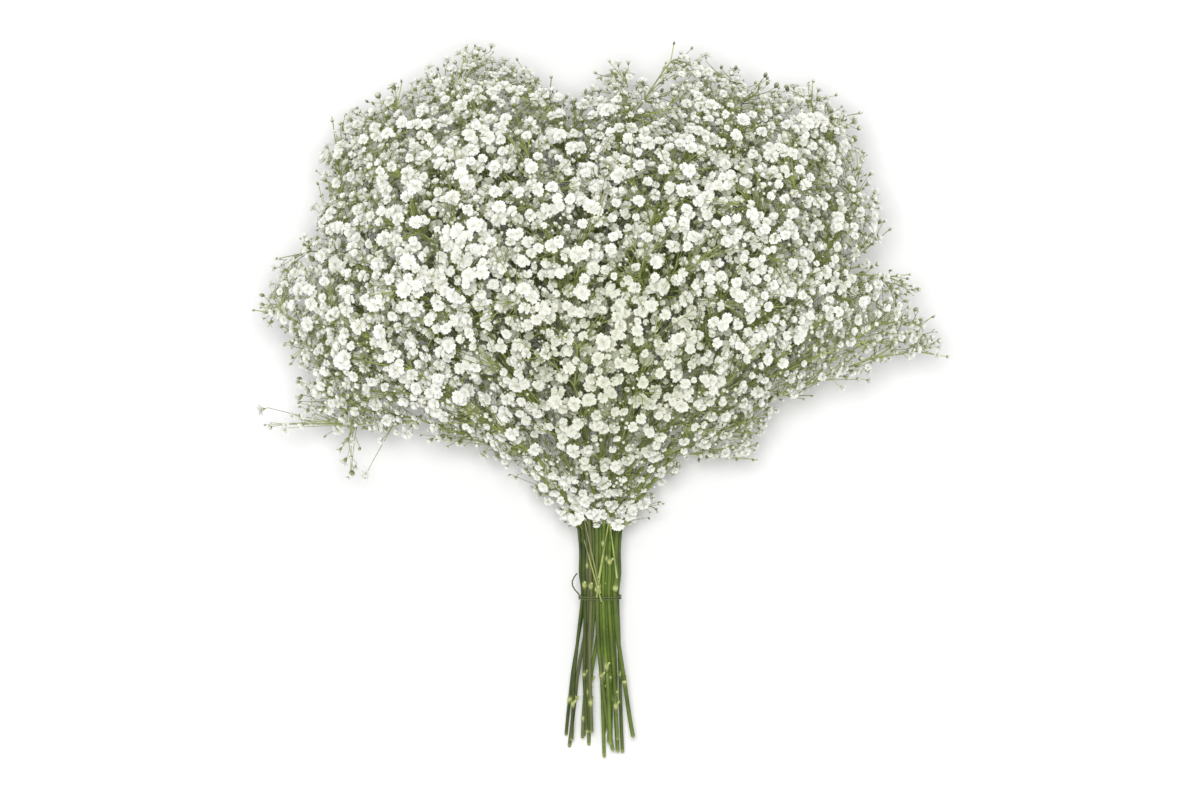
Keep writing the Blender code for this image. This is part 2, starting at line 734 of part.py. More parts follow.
for piece in pieces:
    piece.parent = middle
    piece.data.shade_smooth()
    piece.data.set_sharp_from_angle(angle=math.radians(SMOOTH_ANGLE_DEG))
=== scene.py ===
import json
import math
import bpy
import numpy as np
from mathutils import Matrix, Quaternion, Vector

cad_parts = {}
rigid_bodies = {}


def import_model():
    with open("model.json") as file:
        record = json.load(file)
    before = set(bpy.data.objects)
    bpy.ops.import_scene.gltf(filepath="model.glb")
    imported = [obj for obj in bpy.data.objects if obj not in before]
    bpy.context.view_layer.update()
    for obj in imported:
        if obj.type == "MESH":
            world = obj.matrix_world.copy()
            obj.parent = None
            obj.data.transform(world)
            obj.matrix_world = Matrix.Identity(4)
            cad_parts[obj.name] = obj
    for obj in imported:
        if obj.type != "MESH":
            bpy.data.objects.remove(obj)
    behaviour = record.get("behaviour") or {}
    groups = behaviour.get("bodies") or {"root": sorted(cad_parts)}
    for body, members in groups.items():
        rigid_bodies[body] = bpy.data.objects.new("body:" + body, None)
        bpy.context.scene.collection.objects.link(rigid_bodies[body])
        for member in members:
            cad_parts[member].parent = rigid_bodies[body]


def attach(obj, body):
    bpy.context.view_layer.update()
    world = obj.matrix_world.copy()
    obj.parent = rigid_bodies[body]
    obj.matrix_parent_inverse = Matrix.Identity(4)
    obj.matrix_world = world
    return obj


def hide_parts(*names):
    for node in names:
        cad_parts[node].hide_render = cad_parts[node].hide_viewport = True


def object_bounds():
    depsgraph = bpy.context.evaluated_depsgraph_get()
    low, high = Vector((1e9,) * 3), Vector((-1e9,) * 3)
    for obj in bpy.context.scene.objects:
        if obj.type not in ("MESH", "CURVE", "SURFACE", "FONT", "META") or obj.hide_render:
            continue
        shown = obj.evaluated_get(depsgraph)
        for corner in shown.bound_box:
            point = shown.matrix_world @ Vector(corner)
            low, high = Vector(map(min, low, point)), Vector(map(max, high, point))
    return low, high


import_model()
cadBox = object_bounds()
mm = 0.001

# A bunch of white gypsophila, laid on a table. Everything is planned in millimetres, with Y = 0 at the
# longest cut end and X = 0 at the neck, as the solids are, and moved to its place when a mesh is made.

bunch = {
    "middle": (0.5, 268.4, 0.0),
    "tieY": 122.0,
    "tieHeight": 38.0,
    "slopeDeg": 17.0,
    "stemRows": (6, 7, 6),
    "stemPitch": 4.4,
    "rowPitch": 2.95,
    "footEase": 1.25,
    "footSpread": 1.5,
    "footShear": 2.9,
    "footLift": 2.2,
    "footLevelling": 1.3,
    "footCuts": (3.0, 21.0),
    "partingX": 3.0,
    "parting": 1.3,
    "leaveFan": 0.017,
    "knots": (0.0, 0.25, 0.5, 0.75, 1.0),
    "footStray": (7.5, 3.5),
    "stemBow": (2.6, 1.5),
    "stemApart": 0.75,
    "strayChecks": 25,
    "strayRounds": 500,
    "strayGain": 1.6,
    "fanStart": 36.0,
    "rowElevationDeg": (-1.0, 14.0, 29.0),
    "rowFanDeg": (58.0, 62.0, 54.0),
    "settlingRounds": 12,
    "headHold": 1.0,
    "neckFanShare": 0.66,
    "seed": 5,
    "apexY": 158.0,
}
stemSizes = {
    "thickness": (0.76, 1.06),
    "radius": 1.6,
    "tipRadius": 1.35,
    "stepsAbove": 4,
    "jointSwell": 0.28,
    "jointHalfLength": 4.0,
    "jointShares": (0.42, 0.78),
}
crown = {
    "outline": (  # seen from above, anticlockwise from the neck
        (-19, 182), (-45, 210), (-75, 238), (-86, 257), (-135, 259), (-161, 243), (-191, 238), (-226, 252),
        (-233, 300), (-261, 335), (-244, 374), (-219, 394), (-216, 433), (-202, 478), (-150, 508), (-101, 534),
        (-79, 535), (-37, 512), (-21, 498), (7, 524), (24, 522), (37, 505), (56, 537), (75, 533),
        (105, 516), (161, 508), (196, 484), (204, 445), (219, 396), (208, 376), (234, 362), (251, 330),
        (262, 300), (225, 295), (168, 291), (161, 270), (135, 259), (117, 221), (67, 214), (41, 197),
        (24, 182),
    ),
    "middleY": 345.0,
    "halfSize": np.array([250.0, 185.0, 120.0]),
    "midHeight": 106.0,
    "riseY": (122.0, 330.0),
    "halfDepth": 128.0,
    "edgeRound": 55.0,
    "pressedFlat": 14.0,
}
cluster = {
    "count": 288,
    "radius": 14.0,
    "inset": 0.75,
    "lowest": 0.45,
    "reach": 1.06,
    "spacingOuter": 27.0,
    "spacingInner": 80.0,
    "spacingDepth": 60.0,
    "spacingEase": 0.97,
    "tries": 4000,
}
edgeTip = {
    "count": 50,
    "radius": 2.4,
    "inset": 3.5,
    "shell": 10.0,
    "spacing": 15.0,
    "apart": 22.0,
    "tries": 20000,
}
twigRules = {
    "radius": 0.6,
    "growth": 0.32,
    "rootSink": 2.5,
    "forkAngleDeg": (40.0, 52.0),
    "smallBranch": 4,
    "forkShare": 0.8,
    "splitRounds": 4,
    "forkLeast": 7.0,
    "firstFork": (46.0, 96.0),
    "headingHold": 0.25,
    "outwardFacing": 0.62,
    "clearance": 0.6,
    "easingRounds": 14,
    "pushMost": 5.0,
}

bareStem, twigPart, tipPart = range(3)     # kinds of segment; the later one gives way


def unit(v):
    return v / max(np.linalg.norm(v), 1e-9)


def smoothStep(x, low, high):
    t = np.clip((x - low) / (high - low), 0.0, 1.0)
    return t * t * (3 - 2 * t)


# The crown's volume

def outlineDistance(xy):
    ring = np.array(crown["outline"], float)
    following = np.roll(ring, -1, axis=0)
    edge = following - ring
    offset = xy[:, None, :] - ring
    along = np.clip((offset * edge).sum(2) / (edge ** 2).sum(1), 0, 1)
    nearest = np.linalg.norm(offset - along[..., None] * edge, axis=2).min(1)
    x, y = xy[:, 0:1], xy[:, 1:2]
    spans = (ring[:, 1] > y) != (following[:, 1] > y)
    rise = np.where(edge[:, 1] == 0, 1e-9, edge[:, 1])
    crossings = (spans & (x < ring[:, 0] + (y - ring[:, 1]) / rise * edge[:, 0])).sum(1)
    return np.where(crossings % 2 == 1, nearest, -nearest)


def crownMidHeight(y):
    return bunch["tieHeight"] + (crown["midHeight"] - bunch["tieHeight"]) * smoothStep(y, *crown["riseY"])


def crownDepth(points):
    inside = outlineDistance(points[:, :2])
    half = crown["halfDepth"] * (1 - np.exp(-np.maximum(inside, 0) / crown["edgeRound"]))
    offset = np.abs(points[:, 2] - crownMidHeight(points[:, 1]))
    return np.minimum(inside, half - offset)


def crownBox(lowest):
    ring = np.array(crown["outline"], float)
    low = np.array([*ring.min(0), lowest])
    high = np.array([*ring.max(0), crown["midHeight"] + crown["halfDepth"]])
    return low, high


def placeFlorets(rng):
    low, high = crownBox(-crown["pressedFlat"])
    found = np.zeros((0, 3))
    ease = 1.0
    while len(found) < cluster["count"]:
        tries = rng.uniform(low, high, (cluster["tries"], 3))
        depth = crownDepth(tries) - cluster["radius"] * cluster["inset"]
        tries, depth = tries[depth > 0], depth[depth > 0]
        tries[:, 2] = np.maximum(tries[:, 2], cluster["radius"] * cluster["lowest"])
        deep = np.clip(depth / cluster["spacingDepth"], 0, 1)
        need = ease * (cluster["spacingOuter"] + (cluster["spacingInner"] - cluster["spacingOuter"]) * deep)
        for point, gap in zip(tries, need):
            clear = len(found) == 0 or np.linalg.norm(found - point, axis=1).min() > gap
            if clear and len(found) < cluster["count"]:
                found = np.vstack([found, point])
        ease *= cluster["spacingEase"]
    return found


def placeBuds(rng, florets):
    low, high = crownBox(edgeTip["radius"])
    ring = np.array(crown["outline"], float)
    inward = np.array([0.0, crown["middleY"]]) - ring
    ring += inward / np.linalg.norm(inward, axis=1)[:, None] * edgeTip["inset"]
    furthest = np.column_stack([ring, crownMidHeight(ring[:, 1])])
    scattered = rng.uniform(low, high, (edgeTip["tries"], 3))
    depth = crownDepth(scattered)
    scattered = scattered[(depth > edgeTip["radius"]) & (depth < edgeTip["shell"])]
    found = np.zeros((0, 3))
    for point in np.vstack([furthest, scattered]):
        clear = np.linalg.norm(florets - point, axis=1).min() > edgeTip["spacing"]
        clear = clear and (len(found) == 0 or np.linalg.norm(found - point, axis=1).min() > edgeTip["apart"])
        if clear and len(found) < edgeTip["count"]:
            found = np.vstack([found, point])
    return found


# Which stem bears which floret or bud

def crownApex():
    return np.array([0.0, bunch["apexY"], crownMidHeight(bunch["apexY"])])


def fanDirections():
    made = []
    for row, count in enumerate(bunch["stemRows"]):
        lift = math.radians(bunch["rowElevationDeg"][row])
        for k in range(count):
            turn = math.radians(bunch["rowFanDeg"][row]) * (2 * k / (count - 1) - 1)
            made.append((math.sin(turn) * math.cos(lift), math.cos(turn) * math.cos(lift), math.sin(lift)))
    return np.array(made)


def shareOut(tips):
    rays = tips[:, :3] - crownApex()
    rays /= np.linalg.norm(rays, axis=1)[:, None]
    fan = fanDirections()
    heads = fan.copy()
    for _ in range(bunch["settlingRounds"]):
        owner = (rays @ heads.T).argmax(1)
        for k in range(len(heads)):
            heads[k] = unit(fan[k] * bunch["headHold"] + rays[owner == k].mean(0))
    return (rays @ heads.T).argmax(1), heads


def drawnIn(heads):
    turn = np.arctan2(heads[:, 0], heads[:, 1]) * bunch["neckFanShare"]
    flat = np.hypot(heads[:, 0], heads[:, 1])
    return np.column_stack([np.sin(turn) * flat, np.cos(turn) * flat, heads[:, 2]])


# Stem lines

def neckLattice():
    spots = []
    for row, count in enumerate(bunch["stemRows"]):
        for k in range(count):
            spots.append(((k - (count - 1) / 2) * bunch["stemPitch"], (row - 1) * bunch["rowPitch"]))
    return spots


def bundleAxes():
    slope = math.radians(bunch["slopeDeg"])
    return (np.array([0.0, math.cos(slope), math.sin(slope)]),
            np.array([0.0, -math.sin(slope), math.cos(slope)]))


def bundleX(share, across, up):
    ease = share ** bunch["footEase"]
    return across * (1 + (bunch["footSpread"] - 1) * ease) + up * bunch["footShear"] * ease


def bundlePoint(share, across, up):
    ease = share ** bunch["footEase"]
    side = bundleX(0.5, across, up) - bunch["partingX"]
    x = bundleX(share, across, up) + math.copysign(bunch["parting"], side) * math.sin(math.pi * share) ** 2
    footHeight = stemSizes["radius"] + bunch["rowPitch"] * bunch["footLift"]
    height = footHeight + (bunch["tieHeight"] - footHeight) * (1 - share) ** bunch["footLevelling"]
    lifted = bundleAxes()[1] * up * (1 + (bunch["footLift"] - 1) * ease)
    return np.array([x, bunch["tieY"] * (1 - share), height]) + lifted


def lowerLines(rng, radii):
    knots = np.array(bunch["knots"])
    even = np.array([[bundlePoint(share, *spot) for share in knots] for spot in neckLattice()])[:, :, [0, 2]]
    feet = rng.uniform(-1, 1, (len(radii), 1, 2)) * bunch["footStray"] * knots[:, None]
    bows = rng.uniform(-1, 1, (len(radii), 1, 2)) * bunch["stemBow"] * np.sin(math.pi * knots)[:, None]
    place = even + feet + bows
    checks = np.linspace(0, 1, bunch["strayChecks"])
    weights = np.array([np.interp(checks, knots, row) for row in np.eye(len(knots))])
    held = bunch["strayGain"] * weights / weights.sum(1)[:, None]
    held[0] = 0
    need = radii[:, None] + radii + bunch["stemApart"]
    np.fill_diagonal(need, 0)
    for _ in range(bunch["strayRounds"]):
        now = np.einsum("kc,skx->scx", weights, place)
        between = now[:, None] - now[None]
        gap = np.maximum(np.linalg.norm(between, axis=3), 1e-6)
        push = (between * (np.maximum(need[..., None] - gap, 0) / gap / 2)[..., None]).sum(1)
        place += np.einsum("kc,scx->skx", held, push)
        place[:, 1:, 1] = np.maximum(place[:, 1:, 1], radii[:, None])
    return place


def hermite(a, b, leave, arrive, t):
    return ((2 * t ** 3 - 3 * t ** 2 + 1) * a + (t ** 3 - 2 * t ** 2 + t) * leave
            + (3 * t ** 2 - 2 * t ** 3) * b + (t ** 3 - t ** 2) * arrive)


def stemLine(stem, fork, head):
    half = stemSizes["jointHalfLength"] / bunch["tieY"]
    swell = stem["joint"] + np.array([-half, 0, half])
    cut = 1 - stem["cut"] / bunch["tieY"]
    clear = [knot for knot in bunch["knots"] if knot < cut and abs(knot - stem["joint"]) > half]
    shares = sorted([*clear, *swell, cut], reverse=True)
    line, thickness = [], []
    for share in shares:
        y = bundlePoint(share, *stem["spot"])[1]
        line.append(np.array([np.interp(share, bunch["knots"], stem["lower"][:, 0]), y,
                              np.interp(share, bunch["knots"], stem["lower"][:, 1])]))
        thickness.append(stem["radius"] * (1 + stemSizes["jointSwell"] * (share == stem["joint"])))
    along, up = bundleAxes()
    tie, fan = line[-1], crownApex() + head * bunch["fanStart"]
    reach = np.linalg.norm(fan - tie)
    spread = (np.array([1.0, 0, 0]) * stem["spot"][0] + up * stem["spot"][1]) * bunch["leaveFan"]
    leave = unit(along + spread)
    for t in np.linspace(0, 1, stemSizes["stepsAbove"] + 1)[1:]:
        line.append(hermite(tie, fan, leave * reach, head * reach, t))
        thickness.append(stem["radius"])
    line.append(fork)
    thickness.append(min(stem["radius"], stemSizes["tipRadius"]))
    return line, thickness


# Branching

def splitInTwo(points, origin):
    rays = points - origin
    rays = rays / np.linalg.norm(rays, axis=1)[:, None]
    far = np.unravel_index((rays @ rays.T).argmin(), (len(rays), len(rays)))
    heads = rays[list(far)]
    for _ in range(twigRules["splitRounds"]):
        side = (rays @ heads.T).argmax(1)
        if side.min() == side.max():
            side = np.zeros(len(rays), int)
            side[far[1]] = 1
            break
        heads = np.array([unit(rays[side == k].mean(0)) for k in (0, 1)])
    return side


def nextFork(start, heading, points, rules):
    # as far along as it can fork with no branch wider than the fork angle
    towards = unit(unit(points.mean(0) - start) + rules["headingHold"] * heading)
    ahead = (points - start) @ towards
    aside = np.linalg.norm(points - start - ahead[:, None] * towards, axis=1)
    widest = math.radians(rules["forkAngleDeg"][0 if len(points) > rules["smallBranch"] else 1])
    reach = min((ahead - aside / math.tan(widest)).min(), rules["forkShare"] * ahead.min())
    return start + towards * max(rules["forkLeast"], reach), towards


def grow(start, heading, tips, line, runs, rules):
    # follows line from fork to fork to its tip; each smaller side branch starts a line of its own
    if len(tips) == 1:
        line.append((tips[0, :3], 1))
        runs.append((line, tips[0, 3]))
        return
    side = splitInTwo(tips[:, :3], start)
    larger = int((side == 1).sum() * 2 > len(tips))
    for own, group in ((line, tips[side == larger]), (None, tips[side != larger])):
        if own is None:
            own = [(start, len(group))]
        fork, towards = start, heading
        if len(group) > 1:
            fork, towards = nextFork(start, heading, group[:, :3], rules)
            own.append((fork, len(group)))
        grow(fork, towards, group, own, runs, rules)


def twigRadius(tipsBorne):
    return min(twigRules["radius"] * tipsBorne ** twigRules["growth"], stemSizes["tipRadius"])


def branch(head, tips):
    apex = crownApex()
    reach = np.linalg.norm(nextFork(apex, head, tips[:, :3], twigRules)[0] - apex)
    fork = apex + head * min(max(twigRules["firstFork"][0], reach), twigRules["firstFork"][1])
    root = fork - head * twigRules["rootSink"]
    runs = []
    grow(root, head, tips, [(root, len(tips))], runs, twigRules)
    return fork, runs


def facing(point, way):
    outward = point - np.array([0.0, crown["middleY"], crownMidHeight(point[1])])
    outward = unit(outward / crown["halfSize"] ** 2)
    return unit(way * (1 - twigRules["outwardFacing"]) + outward * twigRules["outwardFacing"])


# Keeping the stems clear of each other

def segmentGap(a0, a1, b0, b1):
    u, v = a1 - a0, b1 - b0
    w = a0 - b0
    uu, vv, uv = u @ u, (v ** 2).sum(1), v @ u
    uw, vw = w @ u, (v * w).sum(1)
    bend = uu * vv - uv * uv
    s = np.where(bend > 1e-9, np.clip((uv * vw - uw * vv) / np.maximum(bend, 1e-9), 0, 1), 0)
    t = np.clip((uv * s + vw) / np.maximum(vv, 1e-9), 0, 1)
    s = np.clip((uv * t - uw) / max(uu, 1e-9), 0, 1)
    return np.linalg.norm(a0 + s[:, None] * u - b0 - t[:, None] * v, axis=1)


def segmentsOf(stem):
    line, thickness = stem["line"]
    made = [(a, b, max(r, q), -1, bareStem) for a, b, r, q in zip(line, line[1:], thickness, thickness[1:])]
    for run, size in stem["runs"]:
        last = run[-1][0]
        number = int(np.linalg.norm(stem["tips"][:, :3] - last, axis=1).argmin())
        for (a, carried), (b, _) in zip(run, run[1:]):
            made.append((a, b, twigRadius(carried), number if b is last else -1, twigPart))
        made.append((last, last, size * cluster["reach"], number, tipPart))
    return made


def clashes(stems):
    table = [(k, *segment) for k, stem in enumerate(stems) for segment in segmentsOf(stem)]
    owner, radius, number, kind = (np.array([row[k] for row in table]) for k in (0, 3, 4, 5))
    starts, ends = (np.array([row[k] for row in table]) for k in (1, 2))
    found = set()
    for i in range(len(table)):
        others = np.nonzero((owner > owner[i]) & ((kind > bareStem) | (kind[i] > bareStem)))[0]
        gap = segmentGap(starts[i], ends[i], starts[others], ends[others]) - radius[i] - radius[others]
        for j in others[gap < twigRules["clearance"]]:
            loser = max((i, j), key=lambda k: (kind[k], number[k] >= 0, -radius[k]))
            tips = stems[owner[loser]]["tips"][:, :3]
            nearest = np.linalg.norm(tips - ends[loser], axis=1).argmin()
            found.add((int(owner[loser]), int(nearest)))
    return found


def easeApart(stems):
    table = [(k, *segment) for k, stem in enumerate(stems) for segment in segmentsOf(stem)]
    for k, stem in enumerate(stems):
        pushes = np.zeros((len(stem["tips"]), 3))
        others = [row for row in table if row[5] != tipPart]
        starts, ends = (np.array([row[c] for row in others]) for c in (1, 2))
        radius, number, owner = (np.array([row[c] for row in others]) for c in (3, 4, 0))
        way = ends - starts
        for tip, (*place, size) in enumerate(stem["tips"]):
            along = np.clip(((place - starts) * way).sum(1) / (way ** 2).sum(1), 0, 1)
            away = place - starts - along[:, None] * way
            gap = np.linalg.norm(away, axis=1)
            need = size + radius + twigRules["clearance"] - gap
            need[(owner == k) & (number == tip)] = 0
            close = need > 0
            push = (away[close] / gap[close, None] * need[close, None]).sum(0)
            pushes[tip] = push * min(1.0, twigRules["pushMost"] / max(np.linalg.norm(push), 1e-9))
        moved = stem["tips"][:, :3] + pushes
        inset = stem["tips"][:, 3] * cluster["inset"]
        moved[:, 2] = np.maximum(moved[:, 2], stem["tips"][:, 3] * cluster["lowest"])
        inside = crownDepth(moved) > inset
        stem["tips"][inside, :3] = moved[inside]


def planBunch():
    rng = np.random.default_rng(bunch["seed"])
    florets = placeFlorets(rng)
    buds = placeBuds(rng, florets)
    tips = np.vstack([np.column_stack([florets, np.full(len(florets), cluster["radius"])]),
                      np.column_stack([buds, np.full(len(buds), edgeTip["radius"])])])
    owner, heads = shareOut(tips)
    heads = drawnIn(heads)
    cuts = rng.uniform(*bunch["footCuts"], len(heads))
    cuts[len(heads) // 2] = 0.0
    joints = rng.uniform(*stemSizes["jointShares"], len(heads))
    radii = stemSizes["radius"] * rng.uniform(*stemSizes["thickness"], len(heads))
    lower = lowerLines(rng, radii)
    stems = []
    for k, spot in enumerate(neckLattice()):
        stems.append({"tips": tips[owner == k], "spot": spot, "cut": cuts[k], "joint": joints[k],
                      "radius": radii[k], "lower": lower[k]})
    touching, rounds = True, 0
    while touching:
        for k, stem in enumerate(stems):
            stem["fork"], stem["runs"] = branch(heads[k], stem["tips"])
            stem["line"] = stemLine(stem, stem["fork"], heads[k])
        rounds += 1
        if rounds <= twigRules["easingRounds"]:
            easeApart(stems)
            continue
        touching = clashes(stems)
        for k, stem in enumerate(stems):
            stem["tips"] = np.delete(stem["tips"], [tip for s, tip in touching if s == k], axis=0)
    return stems


# Fine growth: every twig of the plan carries side twigs, which fork down to single flowers and buds

fineRules = {
    "headingHold": 0.35,
    "forkAngleDeg": (36.0, 46.0),
    "smallBranch": 3,
    "forkShare": 0.72,
    "forkLeast": 2.6,
    "leaveAngleDeg": 40.0,     # between a side twig and the twig that bears it
    "widestCosine": 0.5,
    "widePenalty": 4.0,
    "groupMost": 5,            # flowers and buds on one side twig
    "radius": 0.28,
    "growth": 0.31,
    "branchShare": 0.7,        # how thick a branch of the plan is shown, as a share of its solid
    "upward": 0.3,             # how far flowers turn to the light
    "arrive": 0.9,             # how straight a stalk comes in under its flower, in flower radii
}
bloom = {
    "count": 8000,
    "radius": 5.0,
    "radiusSpread": 0.24,
    "rightShare": 0.84,        # size on the right, where a smaller-flowered plant was used, as a share
    "rightFrom": (-40.0, 110.0),
    "rimShare": 0.88,          # size at the crown's outline, as a share
    "rimWidth": 45.0,
    "inset": 3.6,
    "spacing": (4.7, 15.0),    # apart near the crown's surface, and deep inside it
    "spacingDepth": 70.0,
    "coreAt": (14.0, 285.0),   # the middle of the crown shows more green
    "coreWidth": 72.0,
    "coreSparse": 0.6,
    "rightCloser": 0.14,
    # painted shade: how far flowers in the crown's core, and deep in it, are greyed
    "coreShadePainted": 0.5,
    "deepShadePainted": 0.6,
    "lowest": 3.4,
    "plainDepth": 24.0,        # deeper ones are of the plainest form
    "formsUpTo": (0.31, 0.62, 0.88),     # shares fully open, domed and half open, added up
    "least": 2.4,              # smaller ones are shown as buds
}
bud = {
    "count": 4300,
    "radius": 1.25,
    "radiusSpread": 0.3,
    "inset": 1.4,
    "spacing": (4.8, 17.0),
    "spacingDepth": 70.0,
    "coreAt": (14.0, 285.0),
    "coreWidth": 72.0,
    "coreSparse": 0.2,
    "rightCloser": 0.0,
    "lowest": 1.8,
    "tightShare": 0.45,
}
clump = {
    "waves": 7,
    "lengths": (20.0, 62.0),   # from one clump of flowers to the next
    "strength": 0.4,
}
lowSpray = {
    "every": 4.4,              # length of bare branch for each small spray below the crown
    "reach": (9.0, 27.0),
    "tips": (4, 9),
    "scatter": 5.5,
    "aside": 0.9,
    "flatter": 0.3,
    "apart": 5.0,
    "shallow": 5.0,
    "leastAboveTie": 42.0,
    "mostAboveTie": 175.0,
    "lowest": 3.0,
    "budShare": 0.4,
}


def clumping(rng):
    # smooth seeded noise: where flowers stand closer, and where they leave green gaps
    ways = np.array([unit(way) for way in rng.standard_normal((clump["waves"], 3))])
    ways *= 2 * math.pi / rng.uniform(*clump["lengths"], (clump["waves"], 1))
    shifts = rng.uniform(0, 2 * math.pi, clump["waves"])
    strength = clump["strength"] / math.sqrt(clump["waves"] / 2)
    return lambda points: np.sin(points @ ways.T + shifts).sum(1) * strength


def scatterIn(rng, sizes, taken):
    # points in the crown, closest together near its surface, and clear of those in taken
    low, high = crownBox(-crown["pressedFlat"])
    loosen = clumping(rng)
    high[2] = cadBox[1].z / mm - sizes["radius"]
    found = np.vstack([taken, np.zeros((sizes["count"], 3))])
    made, ease = len(taken), 1.0
    while made < len(found):
        tries = rng.uniform(low, high, (cluster["tries"], 3))
        depth = crownDepth(tries) - sizes["inset"]
        tries, depth = tries[depth > 0], depth[depth > 0]
        tries[:, 2] = np.maximum(tries[:, 2], sizes["lowest"])
        deep = np.clip(depth / sizes["spacingDepth"], 0, 1)
        need = ease * (sizes["spacing"][0] + (sizes["spacing"][1] - sizes["spacing"][0]) * deep)
        away = ((tries[:, :2] - sizes["coreAt"]) ** 2).sum(1) / sizes["coreWidth"] ** 2
        need *= 1 - sizes["rightCloser"] * smoothStep(tries[:, 0], *bloom["rightFrom"])
        need *= (1 + sizes["coreSparse"] * np.exp(-away)) * np.exp(loosen(tries))
        for point, gap in zip(tries, need):
            if made < len(found) and ((found[:made] - point) ** 2).sum(1).min() > gap * gap:
                found[made] = point
                made += 1
        ease *= cluster["spacingEase"]
    return found[len(taken):]


def lowSprays(rng, table, taken):
    # tips of the small sprays on the branches that are bare below the crown
    found = list(taken)
    for _, a, b in table:
        for _ in range(rng.poisson(np.linalg.norm(b - a) / lowSpray["every"])):
            base = a + (b - a) * rng.random()
            turn = rng.uniform(0, 2 * math.pi)
            aside = np.array([math.cos(turn), lowSpray["flatter"] * math.sin(turn), abs(math.sin(turn))])
            towards = unit(unit(b - a) + lowSpray["aside"] * aside)
            above = base[1] - bunch["tieY"]
            bare = crownDepth(base[None])[0] <= lowSpray["shallow"]
            if not (bare and lowSpray["leastAboveTie"] < above < lowSpray["mostAboveTie"]):
                continue
            middle = base + towards * rng.uniform(*lowSpray["reach"])
            for _ in range(rng.integers(*lowSpray["tips"])):
                point = middle + lowSpray["scatter"] * rng.standard_normal(3)
                point[2] = max(point[2], lowSpray["lowest"])
                if abs(point[0]) > cadBox[1].x / mm - lowSpray["apart"]:
                    continue
                if ((np.array(found) - point) ** 2).sum(1).min() > lowSpray["apart"] ** 2:
                    found.append(point)
    return np.array(found[len(taken):])


def twigSegments(stems):
    # (stem, start, end) of all twigs, and of each stem above the neck
    table = []
    for k, stem in enumerate(stems):
        above = stem["line"][0][-3:]
        table += [(k, a, b) for a, b in zip(above, above[1:])]
        for run, _ in stem["runs"]:
            table += [(k, a, b) for (a, _), (b, _) in zip(run, run[1:])]
    return table


def bearers(points, table):
    # the twig that bears each point: the one it can be reached from by the shortest side twig
    starts, ends = (np.array([row[c] for row in table]) for c in (1, 2))
    length = np.linalg.norm(ends - starts, axis=1)
    way = (ends - starts) / length[:, None]
    spread = math.tan(math.radians(fineRules["leaveAngleDeg"]))
    chosen = np.zeros(len(points), int)
    for k, point in enumerate(points):
        offset = point - starts
        along = (offset * way).sum(1)
        aside = np.linalg.norm(offset - along[:, None] * way, axis=1)
        leave = np.clip(along - aside / spread, 0, length)
        stalk = offset - leave[:, None] * way
        reach = np.maximum(np.linalg.norm(stalk, axis=1), 1e-6)
        wide = np.maximum(fineRules["widestCosine"] - (stalk * way).sum(1) / reach, 0)
        chosen[k] = (reach * (1 + fineRules["widePenalty"] * wide)).argmin()
    return chosen


def gather(tips, origin):
    # parts the tips that one twig bears into small groups, each for a side twig of its own
    if len(tips) <= fineRules["groupMost"]:
        return [tips]
    side = splitInTwo(tips[:, :3], origin)
    return gather(tips[side == 0], origin) + gather(tips[side == 1], origin)


def sideTwigs(a, b, tips, runs):
    length = np.linalg.norm(b - a)
    way = (b - a) / length
    spread = math.tan(math.radians(fineRules["leaveAngleDeg"]))
    for group in gather(tips, a):
        offset = group[:, :3] - a
        along = offset @ way
        aside = np.linalg.norm(offset - along[:, None] * way, axis=1)
        start = a + way * np.clip((along - aside / spread).min(), 0, length)
        line = [(start, len(group))]
        if len(group) > 1:
            fork, towards = nextFork(start, way, group[:, :3], fineRules)
            line.append((fork, len(group)))
            grow(fork, towards, group, line, runs, fineRules)
        else:
            grow(start, way, group, line, runs, fineRules)


def dressBunch(stems):
    # flowers and buds for the whole bunch, and the side twigs that reach them, kept with each stem
    rng = np.random.default_rng(bunch["seed"] + 2)
    own = np.vstack([stem["tips"][:, :3] for stem in stems])
    table = twigSegments(stems)
    flowers = scatterIn(rng, bloom, own)
    buds = scatterIn(rng, bud, np.vstack([own, flowers]))
    low = lowSprays(rng, table, np.vstack([own, flowers, buds]))
    isBud = rng.random(len(low)) < lowSpray["budShare"]
    flowers, buds = np.vstack([flowers, low[~isBud]]), np.vstack([buds, low[isBud]])
    flowerSize = bloom["radius"] * (1 + bloom["radiusSpread"] * rng.standard_normal(len(flowers)).clip(-2, 2))
    middle = np.clip(outlineDistance(flowers[:, :2]) / bloom["rimWidth"], 0, 1)
    flowerSize *= bloom["rimShare"] + (1 - bloom["rimShare"]) * middle
    flowerSize *= 1 - (1 - bloom["rightShare"]) * smoothStep(flowers[:, 0], *bloom["rightFrom"])
    budSize = bud["radius"] * (1 + bud["radiusSpread"] * rng.standard_normal(len(buds)).clip(-1.5, 2))
    tips = np.vstack([np.column_stack([flowers, flowerSize]), np.column_stack([buds, budSize])])
    chosen = bearers(tips[:, :3], table)
    for stem in stems:
        stem["fineRuns"] = []
    for number in np.unique(chosen):
        k, a, b = table[number]
        sideTwigs(a, b, tips[chosen == number], stems[k]["fineRuns"])


def fineRadius(tipsBorne):
    return fineRules["radius"] * tipsBorne ** fineRules["growth"]


# Forms that are repeated: flowers, buds, bracts, leaves

